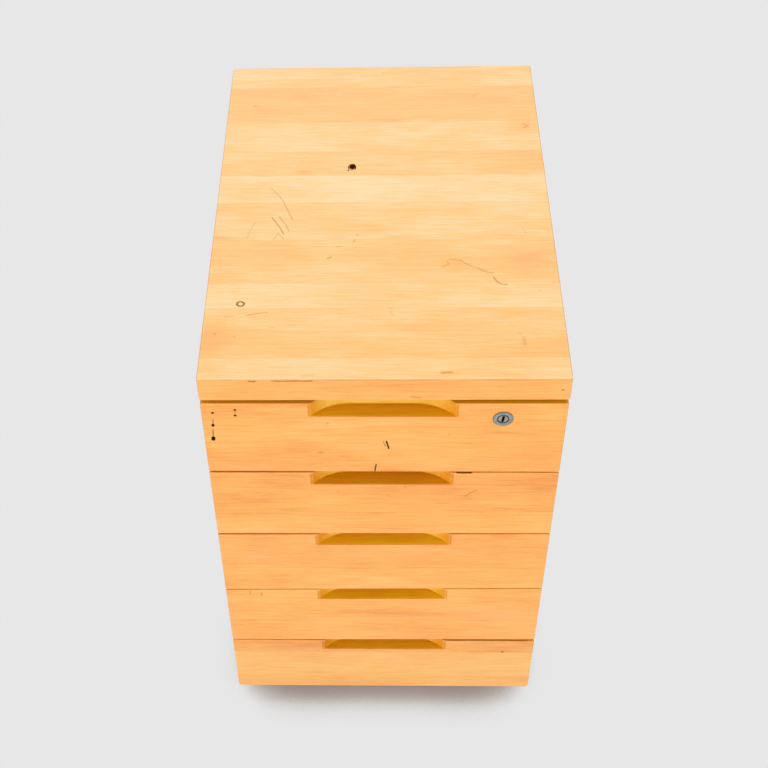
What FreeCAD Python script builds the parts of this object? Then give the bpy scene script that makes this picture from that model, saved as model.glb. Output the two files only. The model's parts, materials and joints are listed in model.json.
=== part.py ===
"""Five-drawer wooden pedestal on four swivel castors, in millimetres.

+Z is up, the drawers open towards -Y, and the origin is on the floor under the
centre of the body. Every sub-part is written to parts/ as one STEP file.
"""
import math
import os

import FreeCAD
import Part
from FreeCAD import Vector

# Body
body_width = 400.0
body_depth = 580.0
body_height = 620.0
top_thickness = 32.0
side_thickness = 20.0
bottom_thickness = 12.0
back_thickness = 8.0
back_lap = 10.0
back_play = 0.3
top_edge_round = 1.2
top_corner_round = 3.0
top_knocked_corner_round = 6.5
panel_edge_round = 1.0

# Dowels between the panels
dowel_diameter = 6.0
dowel_length = 30.0
dowel_play = 0.1
dowel_end_room = 1.0
dowels_per_edge = 3
dowel_inset = 60.0
bottom_dowel_share = 0.5

# Drawer fronts
drawer_count = 5
front_thickness = 30.0
front_gap = 2.4
top_gap = 6.0
bottom_margin = 1.6
front_side_inset = 0.5
front_seat_gap = 0.3
front_edge_round = 1.5
front_corner_round = 2.0
lowest_corner_round = 5.0

# Finger pull in the top edge of each front
pull_width = 166.0
pull_depth = 20.0
pull_height = 20.5
pull_end_radius = 58.0
pull_arris_round = 8.0
pull_lip = 1.0
pull_dip = 1.5

# Drawer boxes
drawer_side_thickness = 14.0
drawer_side_headroom = 4.8
drawer_side_gap = 1.5
drawer_floor_gap = 1.0
drawer_back_room = 14.0
drawer_back_thickness = 14.0
drawer_back_drop = 6.0
drawer_edge_round = 2.0
side_tenon = 8.0
back_housing = 5.0
floor_thickness = 4.0
floor_ledge = 5.0
floor_groove_depth = 6.0
floor_play = 0.1
divider_thickness = 6.0
divider_drop = 13.0
divider_groove_depth = 4.0
divider_play = 0.1
joint_play = 0.1

# Wooden runners
runner_height = 14.0
runner_reach = 8.0
runner_housing_depth = 4.0
runner_seat_gap = 0.2
runner_under_gap = 0.6
runner_tip_gap = 0.5
runner_stop_length = 16.0
runner_stop_gap = 1.0
runner_end_room = 6.0
runner_level_share = 0.5

# Countersunk wood screws: head, shank and length
wood_screw_head = 7.0
wood_screw_shank = 3.5
runner_screw_length = 22.0
runner_screw_count = 2
runner_screw_inset = 60.0
back_screw_length = 20.0
back_side_screw_count = 4
back_cross_screw_count = 2
back_screw_inset = 40.0
castor_screw_length = 11.0
small_screw_head = 5.0
small_screw_shank = 2.5
small_screw_length = 10.0
screw_hole_play = 0.05
screw_cross_width = 0.9
screw_cross_share = 0.62
screw_cross_depth = 0.8

# Lock in the top drawer
lock_right_inset = 70.0
lock_drop = 24.0
rosette_diameter = 22.4
rosette_thickness = 0.9
rosette_edge_round = 0.5
barrel_diameter = 17.0
barrel_play = 0.1
plug_diameter = 12.6
plug_play = 0.05
plug_recess = 0.3
rosette_bore_play = 0.55
keyway_width = 2.2
keyway_height = 9.0
keyway_depth = 12.0
keyway_tilt_degrees = 6.0
case_width = 30.0
case_height = 38.0
case_above_share = 0.56
case_wall = 1.5
case_flange_width = 9.0
case_flange_thickness = 2.0
cam_thickness = 2.0
cam_rim = 0.9
cam_pin_diameter = 3.0
cam_play = 0.3
lock_slide_play = 0.15
bolt_throw = 10.0
bolt_thickness = 4.0
bolt_tongue_width = 12.0
bolt_carriage_margin = 4.0
bolt_rest_drop = 4.5
strike_length = 36.0
strike_width = 14.0
strike_thickness = 1.5
strike_play = 0.8
mortise_depth = 9.0

# Castors
wheel_diameter = 38.0
wheel_width = 16.0
wheel_edge_round = 2.5
wheel_headroom = 4.0
wheel_side_gap = 1.0
wheel_hub_diameter = 14.0
wheel_dish_depth = 2.5
wheel_tyre_thickness = 5.0
crown_diameter = 28.0
crown_thickness = 2.5
race_height = 3.0
race_diameter = 27.0
race_gap = 0.1
stem_diameter = 8.0
stem_play = 0.05
stem_head_diameter = 13.0
stem_head_thickness = 1.5
plate_size = 44.0
plate_thickness = 2.5
plate_corner_round = 4.0
plate_hole_inset = 6.0
castor_trail = 16.0
castor_inset_x = 48.0
castor_inset_y = 60.0
fork_leg_thickness = 2.0
fork_boss_diameter = 12.0
fork_leg_share = 0.62
axle_diameter = 5.0
axle_play = 0.05
axle_head_diameter = 8.0
axle_head_thickness = 1.2

# Shared by all cuts
overrun = 2.0
pick_tolerance = 0.01

# Levels and planes worked out from the sizes
castor_height = wheel_diameter + wheel_headroom + crown_thickness + race_height + plate_thickness
body_base = castor_height
body_top = body_base + body_height
top_underside = body_top - top_thickness
bottom_upper = body_base + bottom_thickness
body_left = -body_width / 2
body_right = body_width / 2
front_plane = -body_depth / 2
rear_plane = body_depth / 2
front_rear = front_plane + front_thickness
carcass_front = front_rear + front_seat_gap
back_inner = rear_plane - back_thickness
inner_right = body_right - side_thickness
fronts_height = body_height - top_thickness - top_gap - bottom_margin
front_height = (fronts_height - (drawer_count - 1) * front_gap) / drawer_count
front_pitch = front_height + front_gap
front_right = body_right - front_side_inset
box_right = inner_right - drawer_side_gap
box_inner_right = box_right - drawer_side_thickness
box_rise = bottom_thickness - bottom_margin + drawer_floor_gap
box_rear = back_inner - drawer_back_room
drawer_side_height = front_height - box_rise - drawer_side_headroom
drawer_back_height = drawer_side_height - floor_ledge - floor_thickness - drawer_back_drop
divider_height = drawer_back_height - divider_drop
groove_depth = runner_reach - drawer_side_gap + runner_tip_gap
groove_height = runner_height + runner_seat_gap + runner_under_gap
groove_front = front_rear + runner_stop_length
runner_front = groove_front + runner_stop_gap
runner_rear = back_inner - runner_end_room

# Lock levels and planes
lock_x = body_right - lock_right_inset
lock_z = top_underside - top_gap - lock_drop
cam_reach = bolt_throw / 2
cam_radius = cam_reach * math.sqrt(2)
cam_disc_radius = cam_radius + cam_pin_diameter / 2 + cam_rim
cam_front = front_rear + case_wall + lock_slide_play
cam_rear = cam_front + cam_thickness
bolt_front = cam_rear + lock_slide_play
bolt_rear = bolt_front + bolt_thickness
case_rear = bolt_rear + lock_slide_play + case_wall
case_bottom = lock_z - case_height * (1 - case_above_share)
case_top = lock_z + case_height * case_above_share
carriage_half_width = cam_disc_radius
carriage_half_height = cam_pin_diameter / 2 + bolt_carriage_margin
cam_pin_rest_z = lock_z - cam_reach
bolt_top = top_underside - bolt_rest_drop


def box(x_low, x_high, y_low, y_high, z_low, z_high):
    """Return a block between six planes."""
    corner = Vector(x_low, y_low, z_low)
    return Part.makeBox(x_high - x_low, y_high - y_low, z_high - z_low, corner)


def rod(diameter, start, end):
    """Return a round bar from one point to another."""
    run = end - start
    return Part.makeCylinder(diameter / 2, run.Length, start, run)


def joined(shapes):
    """Return touching or overlapping shapes as one solid."""
    whole = shapes[0].multiFuse(shapes[1:]) if len(shapes) > 1 else shapes[0]
    return whole.removeSplitter()


def cut(shape, tools):
    """Return the shape with every tool taken away."""
    return shape.cut(Part.makeCompound(tools)) if tools else shape


def mirrored(shape):
    """Return the shape on the other side of the middle plane."""
    return shape.mirror(Vector(0, 0, 0), Vector(1, 0, 0))


def turned(shape, centre, axis, degrees):
    """Return the shape turned about an axis through a point."""
    copy = shape.copy()
    copy.rotate(centre, axis, degrees)
    return copy


def spread(count, low, high):
    """Return evenly spaced places from low to high."""
    if count == 1:
        return [(low + high) / 2]
    return [low + (high - low) * i / (count - 1) for i in range(count)]


def near(value, target):
    """Say whether two lengths are the same."""
    return abs(value - target) < pick_tolerance


def edges_where(shape, wanted):
    """Return the edges whose bounding box passes a test."""
    return [edge for edge in shape.Edges if wanted(edge.BoundBox)]


def rounded(shape, radius, wanted):
    """Round the edges that pass a test."""
    return shape.makeFillet(radius, edges_where(shape, wanted))


def save(name, shape):
    """Write one sub-part."""
    shape.exportStep(f"parts/{name}.step")
    print(name, "solids", len(shape.Solids), "valid", shape.isValid())


# Screws


def screw(place, direction, head, shank, length):
    """Return a countersunk screw whose flat head lies at a place, driven along a direction."""
    cone = (head - shank) / 2
    down = Vector(0, 0, -1)
    body = Part.makeCone(head / 2, shank / 2, cone, Vector(0, 0, 0), down)
    stem = Part.makeCylinder(shank / 2, length - cone, Vector(0, 0, -cone), down)
    point = Part.makeCone(shank / 2, 0, shank, Vector(0, 0, -length), down)
    whole = joined([body, stem, point])
    reach = head * screw_cross_share / 2
    half = screw_cross_width / 2
    slot = box(-reach, reach, -half, half, -screw_cross_depth, overrun)
    other = turned(slot, Vector(0, 0, 0), Vector(0, 0, 1), 90)
    whole = cut(whole, [slot, other])
    whole.Placement = FreeCAD.Placement(place, FreeCAD.Rotation(down, direction))
    return whole


def screw_hole(place, direction, head, shank, length):
    """Return the space that a countersunk screw fills, with its play."""
    cone = (head - shank) / 2
    down = Vector(0, 0, -1)
    wide = head / 2 + screw_hole_play
    narrow = shank / 2 + screw_hole_play
    mouth = Part.makeCylinder(wide, overrun, Vector(0, 0, overrun), down)
    body = Part.makeCone(wide, narrow, cone, Vector(0, 0, 0), down)
    stem = Part.makeCylinder(narrow, length + shank, Vector(0, 0, 0), down)
    whole = joined([mouth, body, stem])
    whole.Placement = FreeCAD.Placement(place, FreeCAD.Rotation(down, direction))
    return whole


def wood_screws(places, direction, length):
    """Return wood screws at the places given."""
    return [screw(place, direction, wood_screw_head, wood_screw_shank, length) for place in places]


def wood_screw_holes(places, direction, length):
    """Return the holes of the wood screws at the places given."""
    return [screw_hole(place, direction, wood_screw_head, wood_screw_shank, length) for place in places]


# Places that several pieces share


def front_bottom(number):
    """Return the level of a drawer front's lower edge; number 1 is the top drawer."""
    return body_base + bottom_margin + (drawer_count - number) * front_pitch


def runner_bottom(number):
    """Return the level of the underside of a drawer's runners."""
    side_bottom = front_bottom(number) + box_rise
    return side_bottom + (drawer_side_height - runner_height) * runner_level_share


def top_dowel_places():
    """Return where the dowels cross the joint under the top panel, on the right."""
    x = body_right - side_thickness / 2
    rows = spread(dowels_per_edge, carcass_front + dowel_inset, back_inner - dowel_inset)
    return [Vector(x, y, top_underside) for y in rows]


def bottom_dowel_places():
    """Return where the dowels cross the joint beside the bottom panel, on the right."""
    z = body_base + bottom_thickness * bottom_dowel_share
    rows = spread(dowels_per_edge, carcass_front + dowel_inset, back_inner - dowel_inset)
    return [Vector(inner_right, y, z) for y in rows]


def dowel(place, direction, diameter, length):
    """Return a dowel, or the room for one, centred on a joint."""
    half = Vector(direction).multiply(length / 2)
    return rod(diameter, place - half, place + half)


def dowel_room(place, direction):
    """Return the hole of a dowel on both sides of its joint."""
    return dowel(place, direction, dowel_diameter + 2 * dowel_play, dowel_length + 2 * dowel_end_room)


def runner_screw_places(number):
    """Return the heads of the screws in a drawer's right runner."""
    z = runner_bottom(number) + runner_height / 2
    rows = spread(runner_screw_count, runner_front + runner_screw_inset, runner_rear - runner_screw_inset)
    return [Vector(inner_right - runner_reach, y, z) for y in rows]


def back_screw_places():
    """Return the heads of the screws in the back panel."""
    x = inner_right + back_lap / 2
    low = body_base + back_screw_inset
    high = top_underside - back_screw_inset
    levels = spread(back_side_screw_count, low, high)
    places = [Vector(side * x, rear_plane, z) for side in (-1, 1) for z in levels]
    columns = spread(back_cross_screw_count, -body_width / 4, body_width / 4)
    bottom_middle = body_base + bottom_thickness / 2
    places += [Vector(x, rear_plane, bottom_middle) for x in columns]
    places += [Vector(x, rear_plane, top_underside + back_lap / 2) for x in columns]
    return places


def castor_places():
    """Return each castor's name and the place of its swivel axis under the body."""
    x = body_right - castor_inset_x
    y = rear_plane - castor_inset_y
    return [
        ("front_left", Vector(-x, -y, 0)),
        ("front_right", Vector(x, -y, 0)),
        ("rear_left", Vector(-x, y, 0)),
        ("rear_right", Vector(x, y, 0)),
    ]


def plate_screw_places():
    """Return the heads of the screws in one castor plate, whose swivel axis is the Z axis."""
    reach = plate_size / 2 - plate_hole_inset
    z = body_base - plate_thickness
    return [Vector(i * reach, j * reach, z) for i in (-1, 1) for j in (-1, 1)]


def castor_screw_places():
    """Return the heads of the screws in the four castor plates."""
    return [place + screw_place for name, place in castor_places() for screw_place in plate_screw_places()]


def lock_screw_places():
    """Return the heads of the four screws in the lock's flanges."""
    x = case_width / 2 + case_flange_width / 2
    z = case_height / 2 - case_flange_width / 2
    middle = (case_bottom + case_top) / 2
    y = front_rear + case_flange_thickness
    return [Vector(lock_x + i * x, y, middle + j * z) for i in (-1, 1) for j in (-1, 1)]


def strike_screw_places():
    """Return the heads of the two screws in the strike plate."""
    x = (strike_length + bolt_tongue_width) / 4
    y = (bolt_front + bolt_rear) / 2
    return [Vector(lock_x + side * x, y, top_underside) for side in (-1, 1)]


# Carcass


def make_top_panel():
    """Return the top panel, with its rebate, mortise and dowel holes."""
    panel = box(body_left, body_right, front_plane, rear_plane, top_underside, body_top)

    def knocked(b):
        """Pass the upright edge of the rear left corner, which has been knocked round."""
        return near(b.XMax, body_left) and near(b.YMin, rear_plane) and near(b.ZLength, top_thickness)

    panel = rounded(panel, top_knocked_corner_round, knocked)
    panel = rounded(
        panel,
        top_corner_round,
        lambda b: near(b.ZLength, top_thickness) and (near(b.XMin, body_right) or near(b.YMax, front_plane)),
    )
    panel = rounded(panel, top_edge_round, lambda b: near(b.ZMin, body_top))
    panel = rounded(panel, panel_edge_round, lambda b: near(b.ZMax, top_underside))
    rebate = box(
        -inner_right - back_lap,
        inner_right + back_lap,
        back_inner,
        rear_plane + overrun,
        top_underside - overrun,
        top_underside + back_lap,
    )
    y_middle = (bolt_front + bolt_rear) / 2
    strike_seat = box(
        lock_x - strike_length / 2,
        lock_x + strike_length / 2,
        y_middle - strike_width / 2,
        y_middle + strike_width / 2,
        top_underside - overrun,
        top_underside + strike_thickness,
    )
    mortise = box(
        lock_x - bolt_tongue_width / 2 - strike_play,
        lock_x + bolt_tongue_width / 2 + strike_play,
        bolt_front - strike_play,
        bolt_rear + strike_play,
        top_underside,
        top_underside + mortise_depth,
    )
    tools = [rebate, strike_seat, mortise]
    for place in top_dowel_places():
        hole = dowel_room(place, Vector(0, 0, 1))
        tools += [hole, mirrored(hole)]
    tools += wood_screw_holes(back_screw_places(), Vector(0, -1, 0), back_screw_length)
    tools += [
        screw_hole(place, Vector(0, 0, 1), small_screw_head, small_screw_shank, small_screw_length)
        for place in strike_screw_places()
    ]
    return cut(panel, tools)


def make_side_panel_right():
    """Return the right side panel, with housings for the runners."""
    panel = box(inner_right, body_right, carcass_front, rear_plane, body_base, top_underside)
    panel = rounded(
        panel,
        panel_edge_round,
        lambda b: near(b.XMin, body_right) and not near(b.ZMin, top_underside),
    )
    rebate = box(
        inner_right - overrun,
        inner_right + back_lap,
        back_inner,
        rear_plane + overrun,
        body_base - overrun,
        top_underside + overrun,
    )
    tools = [rebate]
    for number in range(1, drawer_count + 1):
        low = runner_bottom(number)
        tools.append(
            box(
                inner_right - overrun,
                inner_right + runner_housing_depth,
                runner_front,
                runner_rear,
                low,
                low + runner_height,
            )
        )
        tools += wood_screw_holes(runner_screw_places(number), Vector(1, 0, 0), runner_screw_length)
    tools += [dowel_room(place, Vector(0, 0, 1)) for place in top_dowel_places()]
    tools += [dowel_room(place, Vector(1, 0, 0)) for place in bottom_dowel_places()]
    tools += wood_screw_holes(back_screw_places(), Vector(0, -1, 0), back_screw_length)
    return cut(panel, tools)


def make_back_panel():
    """Return the plywood back panel, which lies in the rebates."""
    reach = inner_right + back_lap - back_play
    ceiling = top_underside + back_lap - back_play
    panel = box(-reach, reach, back_inner, rear_plane, body_base, ceiling)
    return cut(panel, wood_screw_holes(back_screw_places(), Vector(0, -1, 0), back_screw_length))


def make_bottom_panel():
    """Return the bottom panel between the sides."""
    panel = box(-inner_right, inner_right, carcass_front, back_inner, body_base, bottom_upper)
    tools = []
    for place in bottom_dowel_places():
        hole = dowel_room(place, Vector(1, 0, 0))
        tools += [hole, mirrored(hole)]
    tools += wood_screw_holes(back_screw_places(), Vector(0, -1, 0), back_screw_length)
    tools += wood_screw_holes(castor_screw_places(), Vector(0, 0, 1), castor_screw_length)
    return cut(panel, tools)


def make_panel_dowels():
    """Return the dowels that join the top and the bottom to the sides."""
    right = [dowel(place, Vector(0, 0, 1), dowel_diameter, dowel_length) for place in top_dowel_places()]
    right += [
        dowel(place, Vector(1, 0, 0), dowel_diameter, dowel_length) for place in bottom_dowel_places()
    ]
    return Part.makeCompound(right + [mirrored(pin) for pin in right])


def make_drawer_runners():
    """Return the ten runners, each let into its side panel."""
    runners = []
    for number in range(1, drawer_count + 1):
        low = runner_bottom(number)
        runner = box(
            inner_right - runner_reach,
            inner_right + runner_housing_depth,
            runner_front,
            runner_rear,
            low,
            low + runner_height,
        )
        holes = wood_screw_holes(runner_screw_places(number), Vector(1, 0, 0), runner_screw_length)
        runner = cut(runner, holes)
        runners += [runner, mirrored(runner)]
    return Part.makeCompound(runners)


def make_runner_screws():
    """Return the screws of all the runners."""
    right = []
    for number in range(1, drawer_count + 1):
        right += wood_screws(runner_screw_places(number), Vector(1, 0, 0), runner_screw_length)
    return Part.makeCompound(right + [mirrored(one) for one in right])


def make_strike():
    """Return the strike plate that the bolt enters."""
    y_middle = (bolt_front + bolt_rear) / 2
    plate = box(
        lock_x - strike_length / 2,
        lock_x + strike_length / 2,
        y_middle - strike_width / 2,
        y_middle + strike_width / 2,
        top_underside,
        top_underside + strike_thickness,
    )
    slot = box(
        lock_x - bolt_tongue_width / 2 - strike_play,
        lock_x + bolt_tongue_width / 2 + strike_play,
        bolt_front - strike_play,
        bolt_rear + strike_play,
        top_underside - overrun,
        top_underside + strike_thickness + overrun,
    )
    holes = [
        screw_hole(place, Vector(0, 0, 1), small_screw_head, small_screw_shank, small_screw_length)
        for place in strike_screw_places()
    ]
    return cut(plate, [slot] + holes)


def make_strike_screws():
    """Return the two screws of the strike plate."""
    return Part.makeCompound(
        [
            screw(place, Vector(0, 0, 1), small_screw_head, small_screw_shank, small_screw_length)
            for place in strike_screw_places()
        ]
    )


# Drawers


def pull_plan(level):
    """Return the outline, seen from above, that the pull's cutter follows."""
    half = pull_width / 2
    reach = pull_end_radius + pull_arris_round
    sweep = math.acos(1 - pull_depth / reach)
    flat = half - reach * math.sin(sweep)
    mouth = front_plane - overrun

    def on_end(turn):
        """Return a point of the hollow end wall, by its turn from the flat back."""
        x = flat + pull_end_radius * math.sin(turn)
        return Vector(x, front_plane + pull_depth - pull_end_radius * (1 - math.cos(turn)), level)

    def on_arris(turn):
        """Return a point of the rounded arris, by its turn from the front plane."""
        x = half - pull_arris_round * math.sin(turn)
        return Vector(x, front_plane + pull_arris_round * (1 - math.cos(turn)), level)

    right = [
        Part.Arc(on_end(0), on_end(sweep / 2), on_end(sweep)).toShape(),
        Part.Arc(on_end(sweep), on_arris(sweep / 2), on_arris(0)).toShape(),
        Part.LineSegment(on_arris(0), Vector(half, mouth, level)).toShape(),
    ]
    edges = [Part.LineSegment(Vector(-flat, front_plane + pull_depth, level), on_end(0)).toShape()]
    edges += right
    edges.append(Part.LineSegment(Vector(half, mouth, level), Vector(-half, mouth, level)).toShape())
    edges += [mirrored(edge) for edge in reversed(right)]
    return Part.Face(Part.Wire(edges))


def pull_space(front_top):
    """Return the scoop of a finger pull, whose floor falls inwards behind its lip."""
    lip = front_top - pull_height
    upper = pull_plan(lip).extrude(Vector(0, 0, pull_height + overrun))
    lower = pull_plan(lip - pull_dip).extrude(Vector(0, 0, pull_dip))
    half = pull_width / 2
    corners = [
        Vector(-half, front_plane + pull_lip, lip),
        Vector(-half, front_plane + pull_depth, lip - pull_dip),
        Vector(-half, front_rear, lip - pull_dip),
        Vector(-half, front_rear, lip),
    ]
    section = Part.Face(Part.makePolygon(corners + corners[:1]))
    fall = lower.common(section.extrude(Vector(pull_width, 0, 0)))
    return joined([upper, fall])


def make_front(number):
    """Return a drawer front with its pull and the housings of the drawer box."""
    low = front_bottom(number)
    high = low + front_height
    board = box(-front_right, front_right, front_plane, front_rear, low, high)
    if number == drawer_count:
        lower_round = lowest_corner_round
    else:
        lower_round = front_corner_round
    board = rounded(
        board,
        front_corner_round,
        lambda b: near(b.ZMin, high) and b.XLength < pick_tolerance,
    )
    board = rounded(
        board,
        lower_round,
        lambda b: near(b.ZMax, low) and b.XLength < pick_tolerance,
    )
    board = rounded(board, front_edge_round, lambda b: near(b.YMax, front_plane))
    side_low = low + box_rise
    side_high = side_low + drawer_side_height
    housing = box(
        box_inner_right - joint_play,
        box_right + joint_play,
        front_rear - side_tenon - joint_play,
        front_rear + overrun,
        side_low - joint_play,
        side_high + joint_play,
    )
    floor_low = side_low + floor_ledge
    floor_slot = box(
        -box_inner_right,
        box_inner_right,
        front_rear - floor_groove_depth,
        front_rear + overrun,
        floor_low - floor_play,
        floor_low + floor_thickness + floor_play,
    )
    floor_top = floor_low + floor_thickness
    divider_slot = box(
        -divider_thickness / 2 - divider_play,
        divider_thickness / 2 + divider_play,
        front_rear - divider_groove_depth,
        front_rear + overrun,
        floor_top,
        floor_top + divider_height + divider_play,
    )
    tools = [pull_space(high), housing, mirrored(housing), floor_slot, divider_slot]
    if number == 1:
        tools += [lock_bore()] + lock_screw_holes()
    return cut(board, tools)


def make_drawer_side_right(number):
    """Return a drawer's right side, grooved outside for the runner."""
    low = front_bottom(number) + box_rise
    high = low + drawer_side_height
    board = box(box_inner_right, box_right, front_rear - side_tenon, box_rear, low, high)
    board = rounded(
        board,
        drawer_edge_round,
        lambda b: near(b.ZMin, high) and b.YLength > body_depth / 2,
    )
    runner_low = runner_bottom(number)
    runner_slot = box(
        box_right - groove_depth,
        box_right + overrun,
        groove_front,
        box_rear + overrun,
        runner_low - runner_under_gap,
        runner_low - runner_under_gap + groove_height,
    )
    floor_low = low + floor_ledge
    floor_slot = box(
        box_inner_right - overrun,
        box_inner_right + floor_groove_depth,
        front_rear - side_tenon - overrun,
        box_rear + overrun,
        floor_low - floor_play,
        floor_low + floor_thickness + floor_play,
    )
    back_slot = box(
        box_inner_right - overrun,
        box_inner_right + back_housing + joint_play,
        drawer_back_front() - joint_play,
        drawer_back_front() + drawer_back_thickness + joint_play,
        floor_low,
        high + overrun,
    )
    return cut(board, [runner_slot, floor_slot, back_slot])


def drawer_back_front():
    """Return the plane of the drawer back's inner face."""
    return box_rear - drawer_back_thickness - back_housing


def make_drawer_back(number):
    """Return a drawer's back, housed in the sides above the floor."""
    low = front_bottom(number) + box_rise
    floor_top = low + floor_ledge + floor_thickness
    high = floor_top + drawer_back_height
    y_front = drawer_back_front()
    reach = box_inner_right + back_housing
    board = box(-reach, reach, y_front, y_front + drawer_back_thickness, floor_top, high)
    board = rounded(
        board,
        drawer_edge_round,
        lambda b: near(b.ZMin, high) and b.XLength > body_width / 2,
    )
    slot = box(
        -divider_thickness / 2 - divider_play,
        divider_thickness / 2 + divider_play,
        y_front - overrun,
        y_front + divider_groove_depth,
        floor_top - overrun,
        floor_top + divider_height + divider_play,
    )
    return cut(board, [slot])


def make_drawer_floor(number):
    """Return a drawer's plywood floor, held in the grooves of the sides and the front."""
    low = front_bottom(number) + box_rise + floor_ledge
    reach = box_inner_right + floor_groove_depth - joint_play
    tongue = box_inner_right - joint_play
    wide = box(-reach, reach, front_rear, box_rear, low, low + floor_thickness)
    front_edge = front_rear - floor_groove_depth + joint_play
    narrow = box(-tongue, tongue, front_edge, front_rear, low, low + floor_thickness)
    return joined([wide, narrow])


def make_divider(number):
    """Return the board that parts a drawer lengthwise in two."""
    low = front_bottom(number) + box_rise + floor_ledge + floor_thickness
    high = low + divider_height
    half = divider_thickness / 2
    y_low = front_rear - divider_groove_depth + divider_play
    y_high = drawer_back_front() + divider_groove_depth - divider_play
    board = box(-half, half, y_low, y_high, low, high)
    return rounded(
        board,
        min(drawer_edge_round, divider_thickness / 4),
        lambda b: near(b.ZMin, high) and b.YLength > body_depth / 2,
    )


# Lock


def lock_point(y):
    """Return a point on the lock's axis."""
    return Vector(lock_x, y, lock_z)


def lock_bore():
    """Return the bore through the front for the lock's barrel."""
    diameter = barrel_diameter + 2 * barrel_play
    return rod(diameter, lock_point(front_plane - overrun), lock_point(front_rear + overrun))


def lock_screw_holes():
    """Return the holes of the screws in the lock's flanges."""
    return [
        screw_hole(place, Vector(0, -1, 0), small_screw_head, small_screw_shank, small_screw_length)
        for place in lock_screw_places()
    ]


def make_rosette():
    """Return the ring that covers the lock's bore on the front."""
    ring = rod(rosette_diameter, lock_point(front_plane - rosette_thickness), lock_point(front_plane))
    ring = rounded(
        ring,
        rosette_edge_round,
        lambda b: near(b.YMax, front_plane - rosette_thickness),
    )
    hole = rod(
        plug_diameter + 2 * rosette_bore_play,
        lock_point(front_plane - rosette_thickness - overrun),
        lock_point(front_plane + overrun),
    )
    return cut(ring, [hole])


def make_case():
    """Return the lock's case, with its barrel and its flanges."""
    barrel = rod(barrel_diameter, lock_point(front_plane), lock_point(front_rear))
    half = case_width / 2
    shell = box(lock_x - half, lock_x + half, front_rear, case_rear, case_bottom, case_top)
    wing = half + case_flange_width
    flange = box(
        lock_x - wing,
        lock_x + wing,
        front_rear,
        front_rear + case_flange_thickness,
        case_bottom,
        case_top,
    )
    room = carriage_half_width + lock_slide_play
    carriage_low = cam_pin_rest_z - carriage_half_height - lock_slide_play
    disc_low = lock_z - cam_disc_radius - lock_slide_play
    disc_high = lock_z + cam_disc_radius + lock_slide_play
    carriage_high = cam_pin_rest_z + bolt_throw + carriage_half_height + lock_slide_play
    chamber = box(
        lock_x - room,
        lock_x + room,
        front_rear + case_wall,
        case_rear - case_wall,
        min(carriage_low, disc_low),
        max(carriage_high, disc_high),
    )
    tongue_half = bolt_tongue_width / 2 + lock_slide_play
    mouth = box(
        lock_x - tongue_half,
        lock_x + tongue_half,
        bolt_front - lock_slide_play,
        bolt_rear + lock_slide_play,
        lock_z,
        case_top + overrun,
    )
    plug_room = rod(
        plug_diameter + 2 * plug_play,
        lock_point(front_plane - overrun),
        lock_point(front_rear + case_wall + overrun / 2),
    )
    body = joined([barrel, shell, flange])
    return cut(body, [chamber, mouth, plug_room] + lock_screw_holes())


def make_plug():
    """Return the turning plug, with its keyway, its cam disc and the cam's pin."""
    face = front_plane - rosette_thickness + plug_recess
    plug = rod(plug_diameter, lock_point(face), lock_point(cam_front))
    disc = rod(2 * cam_disc_radius, lock_point(cam_front), lock_point(cam_rear))
    start = Vector(lock_x + cam_reach, cam_front, cam_pin_rest_z)
    end = Vector(lock_x + cam_reach, bolt_rear, cam_pin_rest_z)
    pin = rod(cam_pin_diameter, start, end)
    keyway = box(
        lock_x - keyway_width / 2,
        lock_x + keyway_width / 2,
        face - overrun,
        face + keyway_depth,
        lock_z - keyway_height / 2,
        lock_z + keyway_height / 2,
    )
    keyway = turned(keyway, lock_point(0), Vector(0, 1, 0), keyway_tilt_degrees)
    return cut(joined([plug, disc, pin]), [keyway])


def make_bolt():
    """Return the bolt, whose carriage has a level slot for the cam's pin."""
    carriage = box(
        lock_x - carriage_half_width,
        lock_x + carriage_half_width,
        bolt_front,
        bolt_rear,
        cam_pin_rest_z - carriage_half_height,
        cam_pin_rest_z + carriage_half_height,
    )
    tongue = box(
        lock_x - bolt_tongue_width / 2,
        lock_x + bolt_tongue_width / 2,
        bolt_front,
        bolt_rear,
        cam_pin_rest_z,
        bolt_top,
    )
    slot_half = cam_pin_diameter / 2 + cam_play
    slot = box(
        lock_x + cam_reach - slot_half,
        lock_x + cam_radius + slot_half,
        bolt_front - overrun,
        bolt_rear + overrun,
        cam_pin_rest_z - slot_half,
        cam_pin_rest_z + slot_half,
    )
    return cut(joined([carriage, tongue]), [slot])


def make_lock_screws():
    """Return the four screws of the lock's flanges."""
    return Part.makeCompound(
        [
            screw(place, Vector(0, -1, 0), small_screw_head, small_screw_shank, small_screw_length)
            for place in lock_screw_places()
        ]
    )


# Castors: each is made with its swivel axis on the Z axis and trailing towards +Y


def make_castor_plate():
    """Return a castor's plate, with its race, its stem and the stem's head."""
    half = plate_size / 2
    under = body_base - plate_thickness
    plate = box(-half, half, -half, half, under, body_base)
    plate = rounded(plate, plate_corner_round, lambda b: near(b.ZLength, plate_thickness))
    crown_top = under - race_height
    crown_bottom = crown_top - crown_thickness
    race = rod(race_diameter, Vector(0, 0, crown_top + race_gap), Vector(0, 0, under))
    head_top = crown_bottom - race_gap
    stem = rod(stem_diameter, Vector(0, 0, head_top), Vector(0, 0, under))
    head = rod(stem_head_diameter, Vector(0, 0, head_top - stem_head_thickness), Vector(0, 0, head_top))
    holes = wood_screw_holes(plate_screw_places(), Vector(0, 0, 1), castor_screw_length)
    return cut(joined([plate, race, stem, head]), holes)


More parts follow.
